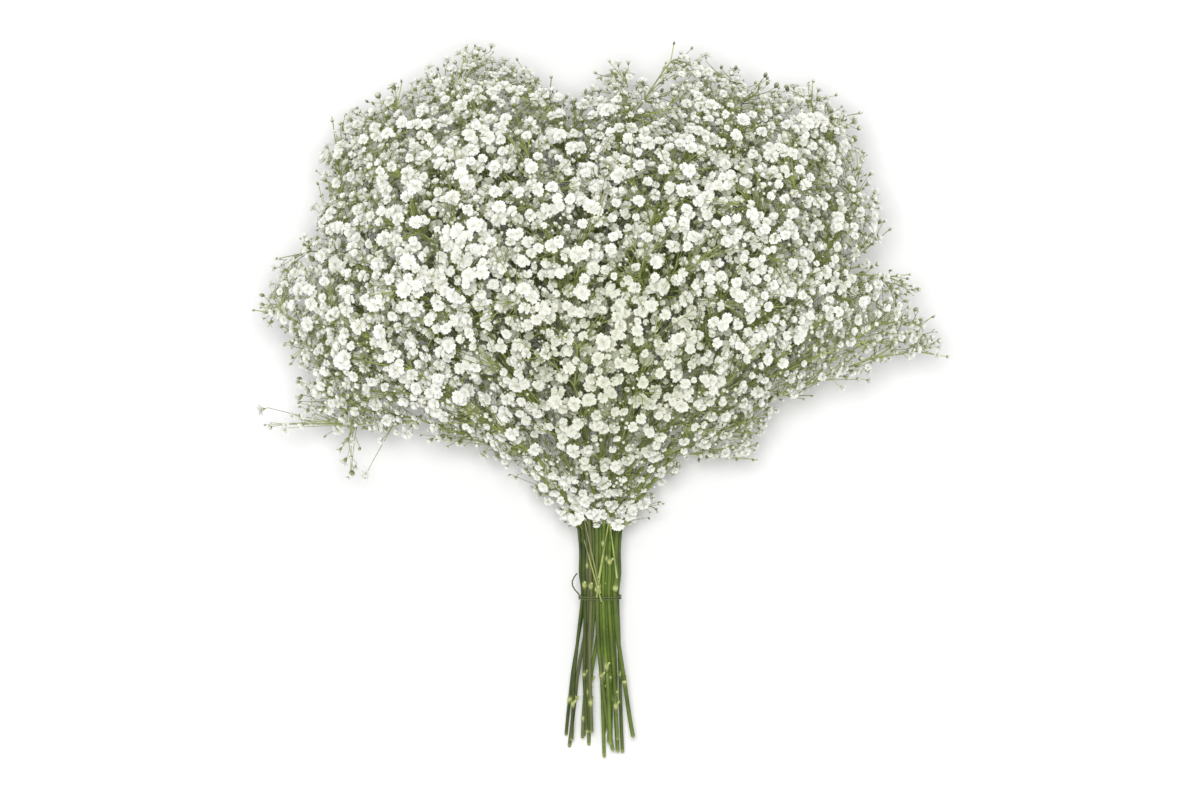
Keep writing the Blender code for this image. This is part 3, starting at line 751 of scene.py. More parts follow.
whorls = {  # petals, length, width, tilt in degrees, height of the root, all for a flower of radius 1
    "fullOpen": ((6, 1.0, 0.82, 8, 0.0), (6, 0.87, 0.7, 30, 0.06), (4, 0.68, 0.6, 54, 0.12),
                 (3, 0.46, 0.5, 76, 0.16)),
    "domed": ((6, 0.98, 0.82, 20, 0.0), (5, 0.82, 0.72, 47, 0.08), (4, 0.6, 0.56, 70, 0.14)),
    "halfOpen": ((5, 0.86, 0.76, 46, 0.0), (4, 0.78, 0.64, 66, 0.06)),
    "opening": ((4, 0.66, 0.56, 70, 0.02), (2, 0.6, 0.42, 84, 0.05)),
    "plain": ((5, 0.96, 0.92, 18, 0.0), (4, 0.7, 0.72, 52, 0.1)),
}
petal = {
    "plan": ((0.05, 0.0), (0.66, -0.5), (0.98, -0.3), (0.87, 0.0), (0.98, 0.3), (0.66, 0.5)),
    "faces": ((0, 1, 2), (0, 2, 3), (0, 3, 4), (0, 4, 5)),
    "turnStray": 0.5,          # of the step from one petal to the next
    "turnLoose": 0.4,
    "tiltStray": 9.0,
    "twist": 0.2,
    "lengths": (0.82, 1.1),
    "cupped": 0.1,
    "ruffled": 0.03,
    "curledBack": 0.5,
}
calyxSizes = {
    "sides": 4,
    "depth": 0.42,
    "rim": 0.1,
    "width": 0.3,
    "openingWidth": 0.36,
}


def setMarks(data, marks, kind="FLOAT"):
    # named values on the points of a mesh
    field = "vector" if kind == "FLOAT_VECTOR" else "value"
    for name, values in marks.items():
        data.attributes.new(name, kind, "POINT").data.foreach_set(field, values)


def meshFrom(name, verts, faces, marks):
    data = bpy.data.meshes.new(name)
    data.from_pydata(verts, [], faces, shade_flat=False)
    setMarks(data, marks)
    data.update()
    return data


def flowerForm(kind, seed):
    # a double flower: whorls of notched petals over a small green calyx
    rng = np.random.default_rng(seed)
    verts, faces, reach, green = [], [], [], []
    for count, length, width, tilt, root in whorls[kind]:
        for k in range(count):
            turn = 2 * math.pi * (k + petal["turnStray"] * rng.random()) / count
            turn += rng.random() * petal["turnLoose"]
            lean = math.radians(tilt + rng.uniform(-petal["tiltStray"], petal["tiltStray"]))
            twist = rng.uniform(-petal["twist"], petal["twist"])
            size = length * rng.uniform(*petal["lengths"])
            first = len(verts)
            for along, across in petal["plan"]:
                r, w = along * size, across * width * size
                ruffle = rng.uniform(-petal["ruffled"], petal["ruffled"]) * along
                lift = petal["cupped"] * abs(across) + twist * across * along + ruffle
                bend = lean - petal["curledBack"] * max(along - 0.5, 0)
                x, z = r * math.cos(bend), root + r * math.sin(bend) + lift
                c, s = math.cos(turn), math.sin(turn)
                verts.append((x * c - w * s, x * s + w * c, z))
                reach.append(along)
                green.append(0.0)
            faces += [tuple(first + i for i in face) for face in petal["faces"]]
    calyx(verts, faces, reach, green, calyxSizes["openingWidth" if kind == "opening" else "width"])
    return meshFrom(kind + "Form", verts, faces, {"reach": reach, "green": green})


def calyx(verts, faces, reach, green, width):
    # green cup under the petals
    first, sides = len(verts), calyxSizes["sides"]
    for z, r in ((-calyxSizes["depth"], width * 0.45), (calyxSizes["rim"], width * 1.05)):
        for k in range(sides):
            angle = 2 * math.pi * k / sides
            verts.append((r * math.cos(angle), r * math.sin(angle), z))
            reach.append(0.0)
            green.append(1.0)
    for k in range(sides):
        a, b = first + k, first + (k + 1) % sides
        faces.append((a, b, b + sides, a + sides))
    faces.append(tuple(first + k for k in reversed(range(sides))))


budRings = {  # height, radius, and how green, for a bud of radius 1
    "roundBud": ((-0.95, 0.4, 1.0), (-0.25, 0.98, 0.9), (0.5, 0.96, 0.15), (1.05, 0.45, 0.0)),
    "tightBud": ((-1.15, 0.3, 1.0), (-0.4, 0.8, 1.0), (0.45, 0.7, 0.8), (1.1, 0.28, 0.35)),
}


def budForm(name, seed):
    # a closed bud: a green calyx below, the folded cream petals above
    rng = np.random.default_rng(seed)
    rings, sides = budRings[name], calyxSizes["sides"]
    verts, faces, reach, green = [], [], [], []
    for z, r, leafy in rings:
        for k in range(sides):
            angle = 2 * math.pi * k / sides
            swell = r * rng.uniform(0.93, 1.07)
            verts.append((swell * math.cos(angle), swell * math.sin(angle), z))
            reach.append(max(z, 0.0))
            green.append(leafy)
    for ring in range(len(rings) - 1):
        for k in range(sides):
            a, b = ring * sides + k, ring * sides + (k + 1) % sides
            faces.append((a, b, b + sides, a + sides))
    faces.append(tuple(reversed(range(sides))))
    last = (len(rings) - 1) * sides
    verts.append((0.0, 0.0, rings[-1][0] + 0.22))
    reach.append(1.0)
    green.append(rings[-1][2])
    faces += [(last + k, last + (k + 1) % sides, len(verts) - 1) for k in range(sides)]
    return meshFrom(name, verts, faces, {"reach": reach, "green": green})


leaf = {
    "share": 0.5,              # of the twigs below leastDepth in the crown, how many bear a pair
    "leastDepth": 16.0,
    "fullDepth": 45.0,         # where they reach their full length
    "length": (12.0, 26.0),
    "offTable": 0.4,
    "widths": ((0.0, 0.012), (0.45, 0.021)),     # half its width at two places along it
    "tip": (0.52, 0.9),
}
bract = {
    "everyFork": 3,
    "least": 0.5,
    "youth": 0.7,
    "corners": ((0.1, -0.25, 0.0), (0.1, 0.25, 0.0), (0.6, 0.2, 0.9), (0.6, -0.2, 0.9), (0.75, 0.0, 1.8)),
}


def bractForm():
    # a pair of tiny scale leaves, as at every fork
    verts, faces = [], []
    for side in (1, -1):
        first = len(verts)
        verts += [(x * side, y, z) for x, y, z in bract["corners"]]
        for face in ((0, 1, 2, 3), (3, 2, 4)):
            faces.append(tuple(first + i for i in face[::side]))
    return meshFrom("bractPair", verts, faces, {"youth": [bract["youth"]] * len(verts)})


def leafForm():
    # a pair of linear leaves that stand up along the twig
    verts, faces, youth = [], [], []
    for side in (1, -1):
        first = len(verts)
        for along, half in leaf["widths"]:
            x, z = side * (0.3 * along + 0.24 * along * along), along * (1 - 0.12 * along)
            verts += [(x, -half, z), (x, half, z)]
            youth += [0.35 + 0.4 * along] * 2
        verts.append((leaf["tip"][0] * side, 0.0, leaf["tip"][1]))
        youth.append(0.9)
        for face in ((0, 1, 3, 2), (2, 3, 4)):
            faces.append(tuple(first + i for i in face[::-side]))
    return meshFrom("leafPair", verts, faces, {"youth": youth})


# Geometry Nodes: one tree skins paths with round stems, one sets a form on every point

class Growth:
    # a Geometry Nodes tree under construction, with its named inputs
    def __init__(self, name, **inputs):
        self.tree = bpy.data.node_groups.new(name, "GeometryNodeTree")
        for label, kind in (("Geometry", "Geometry"), *inputs.items()):
            self.tree.interface.new_socket(label, in_out="INPUT", socket_type="NodeSocket" + kind)
        self.tree.interface.new_socket("Geometry", in_out="OUTPUT", socket_type="NodeSocketGeometry")
        self.given = self.tree.nodes.new("NodeGroupInput").outputs

    def node(self, kind, inputs, **settings):
        # adds a node, links or sets its inputs, and gives its first output
        made = self.tree.nodes.new(kind)
        for label, value in settings.items():
            setattr(made, label, value)
        for label, value in inputs.items():
            if isinstance(value, bpy.types.NodeSocket):
                self.tree.links.new(value, made.inputs[label])
            else:
                made.inputs[label].default_value = value
        return made.outputs[0]

    def mark(self, name, kind="FLOAT"):
        return self.node("GeometryNodeInputNamedAttribute", {"Name": name}, data_type=kind)

    def sized(self, name, label):
        # a point's own size times an input of the tree
        return self.node("ShaderNodeMath", {0: self.mark(name), 1: self.given[label]}, operation="MULTIPLY")

    def close(self, geometry):
        real = self.node("GeometryNodeRealizeInstances", {"Geometry": geometry})
        done = self.node("GeometryNodeSetMaterial", {"Geometry": real, "Material": self.given["Finish"]})
        self.tree.links.new(done, self.tree.nodes.new("NodeGroupOutput").inputs["Geometry"])
        return self.tree


def stemSkinTree():
    # a smooth round stem along every path, with so many steps between two of its points
    made = Growth("stemSkin", Sides="Int", Steps="Int", Thickness="Float", Finish="Material")
    curve = made.node("GeometryNodeMeshToCurve", {"Mesh": made.given["Geometry"]})
    curve = made.node("GeometryNodeCurveSplineType", {"Curve": curve}, spline_type="CATMULL_ROM")
    curve = made.node("GeometryNodeSetSplineResolution", {"Geometry": curve, "Resolution": made.given["Steps"]})
    radius = made.sized("thick", "Thickness")
    curve = made.node("GeometryNodeSetCurveRadius", {"Curve": curve, "Radius": radius})
    ring = made.node("GeometryNodeCurvePrimitiveCircle", {"Resolution": made.given["Sides"], "Radius": 1.0})
    sweep = {"Curve": curve, "Profile Curve": ring, "Fill Caps": True, "Scale": radius}
    skin = made.node("GeometryNodeCurveToMesh", sweep)
    return made.close(made.node("GeometryNodeSetShadeSmooth", {"Geometry": skin}))


def scatterTree():
    # one of the forms on every point, turned and sized by the point's own values
    made = Growth("setForms", Forms="Collection", Size="Float", Finish="Material")
    wanted = {"Collection": made.given["Forms"], "Separate Children": True, "Reset Children": True}
    forms = made.node("GeometryNodeCollectionInfo", wanted)
    points = made.node("GeometryNodeMeshToPoints", {"Mesh": made.given["Geometry"]})
    return made.close(made.node("GeometryNodeInstanceOnPoints", {
        "Points": points, "Instance": forms, "Pick Instance": True, "Instance Index": made.mark("form", "INT"),
        "Rotation": made.mark("turn", "FLOAT_VECTOR"), "Scale": made.sized("size", "Size")}))


def runTree(name, data, tree, values):
    # puts the tree on a carrier mesh and keeps the result as a plain mesh object
    carrier = bpy.data.objects.new(name + "Carrier", data)
    bpy.context.scene.collection.objects.link(carrier)
    modifier = carrier.modifiers.new("make", "NODES")
    modifier.node_group = tree
    for item in tree.interface.items_tree:
        if item.item_type == "SOCKET" and item.in_out == "INPUT" and item.name in values:
            modifier[item.identifier] = values[item.name]
    carrier.update_tag()
    graph = bpy.context.evaluated_depsgraph_get()
    made = bpy.data.meshes.new_from_object(carrier.evaluated_get(graph))
    made.name = name
    spots = np.empty(3 * len(made.vertices))
    made.vertices.foreach_get("co", spots)
    spots[2::3] = np.maximum(spots[2::3], 0.0)      # what touches the table lies flat on it
    made.vertices.foreach_set("co", spots)
    bpy.data.objects.remove(carrier)
    bpy.data.meshes.remove(data)
    piece = bpy.data.objects.new(name, made)
    bpy.context.scene.collection.objects.link(piece)
    return piece


def pathMesh(name, paths):
    # (point, radius, youth, pale) rows for each path, in the plan's millimetres
    verts, edges, thick, youth, pale, tint = [], [], [], [], [], []
    for number, path in enumerate(paths):
        first = len(verts)
        tint += [number * 0.618 % 1] * len(path)     # evenly mixed from path to path
        for point, radius, young, light in path:
            verts.append(placed(point))
            thick.append(radius * mm)
            youth.append(young)
            pale.append(light)
        edges += [(first + k, first + k + 1) for k in range(len(path) - 1)]
    data = bpy.data.meshes.new(name)
    data.from_pydata(verts, edges, [])
    setMarks(data, {"thick": thick, "youth": youth, "pale": pale, "tint": tint})
    return data


def pointMesh(name, rows, rng):
    # (point, axis, size, form) rows, in the plan's millimetres
    data = bpy.data.meshes.new(name)
    data.from_pydata([placed(row[0]) for row in rows], [], [])
    turns = []
    for _, axis, _, _ in rows:
        spin = Quaternion((0, 0, 1), rng.uniform(0, 2 * math.pi))
        turns += list((Vector(axis).to_track_quat("Z", "Y") @ spin).to_euler())
    setMarks(data, {"turn": turns}, "FLOAT_VECTOR")
    setMarks(data, {"form": [row[3] for row in rows]}, "INT")
    # each flower's share of painted shade goes with its size and chance
    setMarks(data, {"size": [row[2] * mm for row in rows], "chance": rng.random(len(rows)),
                    "inner": innerness([row[0] for row in rows])})
    return data


def innerness(points):
    # painted shade: how far a flower is greyed to an olive green, more so deep in the crown and in its core,
    # where shade falls
    points = np.array(points)
    away = ((points[:, :2] - bloom["coreAt"]) ** 2).sum(1) / bloom["coreWidth"] ** 2
    deep = np.clip(crownDepth(points) / bloom["spacingDepth"], 0, 1)
    return np.clip(bloom["coreShadePainted"] * np.exp(-away) + bloom["deepShadePainted"] * deep, 0, 1)


def placed(point):
    # from the plan, in millimetres, to its place in the frame
    return tuple((np.asarray(point) - bunch["middle"]) * mm)


def formSet(name, meshes):
    group = bpy.data.collections.new(name)
    for k, data in enumerate(meshes):
        group.objects.link(bpy.data.objects.new(f"{name}{k:02d}", data))
    return group


# Finishes

def mottleGroup():
    # soft and fine blotches from two noises, from 0 to 1, for every plant finish
    tree = bpy.data.node_groups.new("plantMottle", "ShaderNodeTree")
    for label, value in (("Soft Scale", 120.0), ("Fine Scale", 900.0), ("Fine Share", 0.35)):
        tree.interface.new_socket(label, in_out="INPUT", socket_type="NodeSocketFloat").default_value = value
    tree.interface.new_socket("Vector", in_out="INPUT", socket_type="NodeSocketVector")
    tree.interface.new_socket("Mottle", in_out="OUTPUT", socket_type="NodeSocketFloat")
    source, sink = tree.nodes.new("NodeGroupInput"), tree.nodes.new("NodeGroupOutput")
    noises = []
    for label in ("Soft Scale", "Fine Scale"):
        noise = tree.nodes.new("ShaderNodeTexNoise")
        noise.inputs["Detail"].default_value = 3.0
        tree.links.new(source.outputs["Vector"], noise.inputs["Vector"])
        tree.links.new(source.outputs[label], noise.inputs["Scale"])
        noises.append(noise)
    mix = tree.nodes.new("ShaderNodeMix")
    tree.links.new(source.outputs["Fine Share"], mix.inputs["Factor"])
    tree.links.new(noises[0].outputs["Fac"], mix.inputs["A"])
    tree.links.new(noises[1].outputs["Fac"], mix.inputs["B"])
    tree.links.new(mix.outputs["Result"], sink.inputs["Mottle"])
    return tree


class Finish:
    # a material under construction: short calls for the nodes that most finishes need
    def __init__(self, name, values, mottle):
        self.material = bpy.data.materials.new(name)
        self.material.use_nodes = True
        self.tree = self.material.node_tree
        self.shader = self.tree.nodes["Principled BSDF"]
        self.shader.inputs["Roughness"].default_value = values["roughness"]
        self.coords = self.tree.nodes.new("ShaderNodeTexCoord").outputs["Object"]
        self.values, self.mottle = values, mottle

    def mark(self, name):
        node = self.tree.nodes.new("ShaderNodeAttribute")
        node.attribute_name = name
        return node.outputs["Fac"]

    def blotches(self, name):
        node = self.tree.nodes.new("ShaderNodeGroup")
        node.node_tree = self.mottle
        self.tree.links.new(self.coords, node.inputs["Vector"])
        for label, value in zip(("Soft Scale", "Fine Scale", "Fine Share"), self.values[name]):
            node.inputs[label].default_value = value
        return node.outputs["Mottle"]

    def ramp(self, factor, stops):
        # stops are (place, colour)
        node = self.tree.nodes.new("ShaderNodeValToRGB")
        band = node.color_ramp
        while len(band.elements) < len(stops):
            band.elements.new(0.5)
        for element, (place, colour) in zip(band.elements, stops):
            element.position = place
            element.color = (*colour, 1.0)
        self.tree.links.new(factor, node.inputs["Fac"])
        return node.outputs["Color"]

    def greys(self, factor, stops):
        return self.ramp(factor, [(place, (grey,) * 3) for place, grey in stops])

    def blend(self, factor, a, b, how="MIX"):
        node = self.tree.nodes.new("ShaderNodeMix")
        node.data_type = "RGBA"
        node.blend_type = how
        for value, socket in ((factor, node.inputs[0]), (a, node.inputs[6]), (b, node.inputs[7])):
            if isinstance(value, bpy.types.NodeSocket):
                self.tree.links.new(value, socket)
            else:
                socket.default_value = (*value, 1.0)
        return node.outputs[2]

    def done(self, colour):
        # the colour, and a fine grain as a bump
        self.tree.links.new(colour, self.shader.inputs["Base Color"])
        node = self.tree.nodes.new("ShaderNodeBump")
        node.inputs["Strength"].default_value, node.inputs["Distance"].default_value = self.values["relief"]
        self.tree.links.new(self.blotches("grain"), node.inputs["Height"])
        self.tree.links.new(node.outputs["Normal"], self.shader.inputs["Normal"])
        return self.material


# in every finish, blotches and grain are two noise scales and the share of the finer one, relief is the
# strength of the bump and its height in metres, and a colour that follows a mark is (place, colour) stops
stemFinish = {
    "green": ((0.0, (0.16, 0.24, 0.03)), (1.0, (0.58, 0.63, 0.21))),     # from an old stem to a young twig
    "dark": (0.05, 0.09, 0.01),
    "lightShares": ((0.34, 0.3), (0.56, 1.0)),      # how dark the blotches leave it
    "joint": (0.55, 0.60, 0.22),
    "tints": ((0.0, 0.4), (0.3, 0.75), (0.55, 1.0), (0.8, 0.6)),     # how light the green of each stem is
    "tintedYouth": ((0.0, 1.0), (0.4, 0.0)),        # on old stems, not on twigs
    "dusky": (0.21, 0.20, 0.11),
    "duskyShares": ((0.62, 0.0), (0.95, 0.6)),
    "shadedAndAgedDepth": 90.0,         # twigs this deep in the crown are as dark as they get, partly with painted shade
    "leastYouth": 0.2,
    "youthFrom": 1.15,         # of a twig, less its radius over oldRadius
    "oldRadius": 1.3,
    "blotches": (70.0, 500.0, 0.3),
    "grain": (400.0, 2500.0, 0.5),
    "relief": (0.25, 0.0003),
    "roughness": 0.5,
}
petalFinish = {
    # heart to edge: the petals' own greenish base, darkened further as painted shade deep inside the flower
    "petal": ((0.0, (0.80, 0.82, 0.60)), (0.45, (0.91, 0.91, 0.85)), (0.9, (0.93, 0.93, 0.91))),
    "shade": (0.90, 0.90, 0.85),
    # painted shade: the olive grey of flowers deep in the crown and in its core
    "inner": (0.68, 0.695, 0.53),
    "calyx": ((0.3, (0.25, 0.34, 0.09)), (0.7, (0.45, 0.5, 0.25))),
    "blotches": (60.0, 1500.0, 0.4),
    "calyxBlotches": (300.0, 1500.0, 0.4),
    "grain": (1200.0, 5000.0, 0.5),
    "relief": (0.3, 0.0002),
    "roughness": 0.62,
}
budFinish = {
    "tip": ((0.2, (0.80, 0.79, 0.60)), (0.8, (0.90, 0.90, 0.84))),
    "calyx": ((0.1, (0.10, 0.12, 0.06)), (0.7, (0.24, 0.32, 0.10))),
    "grain": (1500.0, 4000.0, 0.5),
    "relief": (0.2, 0.0002),
    "roughness": 0.55,
}
threadFinish = {
    "fibre": ((0.3, (0.096, 0.12, 0.042)), (0.7, (0.16, 0.20, 0.07))),
    "blotches": (500.0, 2600.0, 0.6),
    "grain": (2500.0, 6000.0, 0.5),
    "relief": (0.5, 0.0002),
    "roughness": 0.75,
}


def stemGreen(mottle):
    finish = Finish("stemGreen", stemFinish, mottle)
    youth, tint = finish.mark("youth"), finish.mark("tint")
    green = finish.ramp(youth, stemFinish["green"])
    light = finish.greys(finish.blotches("blotches"), stemFinish["lightShares"])
    green = finish.blend(light, stemFinish["dark"], green)
    bare = finish.greys(youth, stemFinish["tintedYouth"])
    green = finish.blend(bare, green, finish.greys(tint, stemFinish["tints"]), "MULTIPLY")
    green = finish.blend(finish.greys(tint, stemFinish["duskyShares"]), green, stemFinish["dusky"])
    return finish.done(finish.blend(finish.mark("pale"), green, stemFinish["joint"]))


def petalWhite(mottle):
    finish = Finish("petalWhite", petalFinish, mottle)
    # greenish cream at each petal's base: partly its own colour, partly painted shade inside the flower
    white = finish.ramp(finish.mark("reach"), petalFinish["petal"])
    white = finish.blend(finish.blotches("blotches"), petalFinish["shade"], white)
    # painted shade: flowers deep in the crown and in its core are greyed to an olive
    white = finish.blend(finish.mark("inner"), white, petalFinish["inner"])
    calyx = finish.ramp(finish.blotches("calyxBlotches"), petalFinish["calyx"])
    return finish.done(finish.blend(finish.mark("green"), white, calyx))


def budCream(mottle):
    finish = Finish("budCream", budFinish, mottle)
    chance = finish.mark("chance")
    tip, calyx = finish.ramp(chance, budFinish["tip"]), finish.ramp(chance, budFinish["calyx"])
    return finish.done(finish.blend(finish.mark("green"), tip, calyx))


def threadGreen(mottle):
    finish = Finish("tieThread", threadFinish, mottle)
    return finish.done(finish.ramp(finish.blotches("blotches"), threadFinish["fibre"]))


# The pieces

rowNames = ("lower", "middle", "upper")
skinSizes = {  # sides round a stem, and steps between two points of its path
    "Stems": (12, 4),
    "Branches": (6, 4),
    "Twigs": (3, 1),
    "Thread": (8, 2),
}
bareSizes = {
    "jointSwell": 1.35,
    "jointHalf": 3.0,
    "jointPlace": (0.3, 0.7),
    "pithLength": 1.2,
    "stubRadius": 0.95,
    "stubLength": 5.2,
    "stubLean": 0.8,
    "stubTaper": (1.2, 1.0, 0.9),
}
tones = {  # how young and how pale a bare stem is at each place
    "old": (0.0, 0.0),
    "upper": (0.35, 0.0),
    "swelling": (0.0, 0.9),
    "joint": (0.3, 0.9),
    "aboutJoint": (0.1, 0.0),
    "cut": (0.6, 1.0),
    "stub": ((0.2, 0.9), (0.3, 0.9), (0.3, 1.0)),
}
shoot = {  # thin side shoots that cross the neck on top of the stems
    "count": 5,
    "startPast": (-10.0, 30.0),      # from the tie
    "startAcross": 13.0,
    "length": (46.0, 70.0),
    "steps": 5,
    "lean": (0.08, 0.3),
    "radius": (0.55, 0.8),
    "taper": 0.07,
    "youth": 0.6,
    "rise": 0.12,
    "near": 3.4,
}


def declare(piece, nodes):
    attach(piece, "root")
    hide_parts(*nodes)
    print(f"  {piece.name}: {sum(len(p.vertices) - 2 for p in piece.data.polygons)} triangles")


def rowStems(stems, row):
    first = sum(bunch["stemRows"][:row])
    return stems[first:first + bunch["stemRows"][row]]


def barePaths(stems, rng):
    # bare stems with their swollen pale joints, and the cut stub of a side shoot at each
    paths = []
    for stem in stems:
        line, thickness = stem["line"]
        path = []
        for k, (point, radius) in enumerate(zip(line, thickness)):
            tone = "swelling" if radius > stem["radius"] else "old" if k < len(line) - 2 else "upper"
            path.append((point, radius, *tones[tone]))
        paths.append(path)
        swollen = int(np.argmax(thickness))
        paths.append(cutStub(line[swollen], unit(line[swollen + 1] - line[swollen]), thickness[swollen], rng))
        k = int(rng.integers(len(line) - 5, len(line) - 1))
        step, radius = line[k] - line[k - 1], thickness[k]
        middle = line[k - 1] + step * rng.uniform(*bareSizes["jointPlace"])
        half = unit(step) * bareSizes["jointHalf"]
        path[k:k] = [(middle - half, radius, *tones["aboutJoint"]),
                     (middle, radius * bareSizes["jointSwell"], *tones["joint"]),
                     (middle + half, radius, *tones["aboutJoint"])]
        paths.append(cutStub(middle, unit(step), radius, rng))
        pith = line[0] + unit(line[1] - line[0]) * bareSizes["pithLength"]
        path[:1] = [(line[0], thickness[0], *tones["cut"]), (pith, thickness[0], *tones["aboutJoint"])]
    return paths


def cutStub(spot, along, radius, rng):
    turn = rng.uniform(0, 2 * math.pi)
    aside = unit(np.cross(along, (math.cos(turn), math.sin(turn), 0.3)))
    away = unit(aside + bareSizes["stubLean"] * along) * bareSizes["stubLength"]
    root = spot + aside * radius * 0.5
    return [(root + away * share, bareSizes["stubRadius"] * taper, *tone)
            for share, taper, tone in zip((0, 0.6, 1), bareSizes["stubTaper"], tones["stub"])]


def crossingShoots(stems, rng):
    # each lies on whatever stems it crosses, and rises a little on its way into the flowers
    tops = []
    for stem in stems:
        line, thickness = stem["line"]
        for a, b, r in zip(line, line[1:], thickness):
            tops += [a + (b - a) * t + (0, 0, r) for t in np.linspace(0, 1, 12)]
    tops = np.array(tops)
    paths = []
    for _ in range(shoot["count"]):
        across = rng.uniform(-1, 1) * shoot["startAcross"]
        spot = np.array([across, bunch["tieY"] + rng.uniform(*shoot["startPast"])])
        lean = rng.uniform(*shoot["lean"]) * (-1 if spot[0] > 0 else 1)
        step = np.array([lean, 1.0]) * rng.uniform(*shoot["length"]) / shoot["steps"]
        radius, height, path = rng.uniform(*shoot["radius"]), 0.0, []
        for n in range(shoot["steps"] + 1):
            near = np.hypot(*(tops[:, :2] - spot).T) < shoot["near"]
            under = tops[near, 2].max() + radius if near.any() else 0.0
            height = max(under, height + (shoot["rise"] * np.linalg.norm(step) if n else 0.0))
            pale = 0.0 if n else 0.5
            path.append((np.array([*spot, height]), radius * (1 - shoot["taper"] * n), shoot["youth"], pale))
            spot = spot + step
        paths.append(path)
    return paths


def shadeAndAgePaths(paths):
    # twigs deep in the crown are a darker green: partly the older green of inner twigs, partly painted shade
    deep = crownDepth(np.array([row[0] for path in paths for row in path]))
    kept = iter(np.clip(1 - deep / stemFinish["shadedAndAgedDepth"], stemFinish["leastYouth"], 1))
    return [[(point, radius, young * next(kept), pale) for point, radius, young, pale in path]
            for path in paths]


def twigPaths(stems):
    # (coarse paths, fine paths, tips, forks) of some stems
    coarse, fine, tips, forks = [], [], [], []
    for stem in stems:
        for run, size in stem["runs"]:
            points, borne = [point for point, _ in run], [count for _, count in run]
            radii = [twigRadius(count) * fineRules["branchShare"] for count in borne[:-1]] + [fineRadius(2)]
            size = bloom["radius"] if size == cluster["radius"] else bud["radius"]
            addTwig(points, radii, size, coarse, tips, forks)
        for run, size in stem["fineRuns"]:
            points, radii = [point for point, _ in run], [fineRadius(count) for _, count in run]
            addTwig(points, radii, size, fine, tips, forks)
    return coarse, fine, tips, forks


def addTwig(points, radii, size, paths, tips, forks):
    forks.append((points[0], unit(points[1] - points[0]), radii[0]))
    way = unit(points[-1] - points[-2])
    axis = unit(facing(points[-1], way) + np.array([0, 0, fineRules["upward"]]))
    stalk = np.linalg.norm(points[-1] - points[-2])
    if stalk > 2 * size * fineRules["arrive"]:
        points = [*points[:-1], points[-1] - axis * size * fineRules["arrive"], points[-1]]
        radii = [*radii, radii[-1]]
    youth = np.clip(stemFinish["youthFrom"] - np.array(radii) / stemFinish["oldRadius"], 0, 1)
    paths.append([(point, radius, float(young), 0.0) for point, radius, young in zip(points, radii, youth)])
    tips.append((points[-1], axis, size))


def sortTips(tips, rng):
    # (point, axis, size, form) of the flowers, and of the buds
    flowers, buds = [], []
    plain = list(whorls).index("plain")
    for (point, axis, size), deep in zip(tips, crownDepth(np.array([tip[0] for tip in tips]))):
        chance = rng.random()
        if size > bloom["least"]:
            form = int(np.searchsorted(bloom["formsUpTo"], chance, side="right"))
            flowers.append((point, axis, size, plain if form < 2 and deep > bloom["plainDepth"] else form))
        else:
            buds.append((point, axis, size, int(chance < bud["tightShare"])))
    return flowers, buds


def forkLeaves(forks, rng):
    # scale leaves at some forks, and linear leaves in the depth of the crown
    made = [(point, axis, max(size, bract["least"]), 0) for point, axis, size in forks[::bract["everyFork"]]]
    for (point, axis, _), deep in zip(forks, crownDepth(np.array([fork[0] for fork in forks]))):
        if rng.random() < leaf["share"] and deep > leaf["leastDepth"]:
            length = rng.uniform(*leaf["length"]) * min(1.0, deep / leaf["fullDepth"])
            if point[2] > length * leaf["offTable"]:
                made.append((point, axis, length, 1))
    return made


def buildRow(name, stems, rng, trees, finishes, forms):
    nodes = [f"spray_{stem['number']:02d}" for stem in stems]
    coarse, fine, tips, forks = twigPaths(stems)
    bare = barePaths(stems, rng)
    if name == "upper":
        bare += crossingShoots(stems, rng)

    def skin(part, paths):
        sides, steps = skinSizes[part]
        sizes = {"Sides": sides, "Steps": steps, "Thickness": 1.0, "Finish": finishes["stemGreen"]}
        data = pathMesh(name + part + "Paths", paths)
        declare(runTree(name + part, data, trees[0], sizes), nodes)

    def dress(part, points, finish):
        data = pointMesh(name + part + "Points", points, rng)
        sizes = {"Forms": forms[part], "Size": 1.0, "Finish": finishes[finish]}
        declare(runTree(name + part, data, trees[1], sizes), nodes)

    skin("Stems", bare)
    # branches and twigs deep in the crown are darkened, partly with painted shade
    skin("Branches", shadeAndAgePaths(coarse))
    skin("Twigs", shadeAndAgePaths(fine))
    flowers, buds = sortTips(tips, rng)
    dress("Flowers", flowers, "petalWhite")
    dress("Buds", buds, "budCream")
    dress("Bracts", forkLeaves(forks, rng), "stemGreen")


# The tie: a thin two-ply thread, wound round the neck, with a small loose loop on the left

tie = {
    "radius": 0.6,
    "turns": 2,
    "turnPitch": 1.9,
    "clearance": 0.35,
    "steps": 22,
    "loopReach": 4.5,
    "loopSteps": 5,
    "plyRadius": 0.36,
    "plyOffset": 0.26,
    "twistLength": 3.2,
    "twistSteps": 6,
}


def tieLine(leftStem):
    along, up = bundleAxes()
    across = np.array([1.0, 0.0, 0.0])
    centre = np.array([0.0, bunch["tieY"], bunch["tieHeight"]])
    reach = stemSizes["radius"] + tie["clearance"] + tie["radius"]
    spots = np.array(neckLattice())
    turns = []
    for k in range(tie["turns"] * tie["steps"] + 1):
        angle = math.pi - 2 * math.pi * k / tie["steps"]
        side = np.array([math.cos(angle), math.sin(angle)])
        u, v = spots[(spots @ side).argmax()] + reach * side
        turns.append(centre + across * u + up * v - along * tie["turnPitch"] * k / tie["steps"])
    start = leftStem - across * reach
    loop = []
    for t in np.linspace(0, 1, tie["loopSteps"], endpoint=False):
        loop.append(start + (turns[0] - start) * t - across * tie["loopReach"] * math.sin(math.pi * t))
    return loop + turns


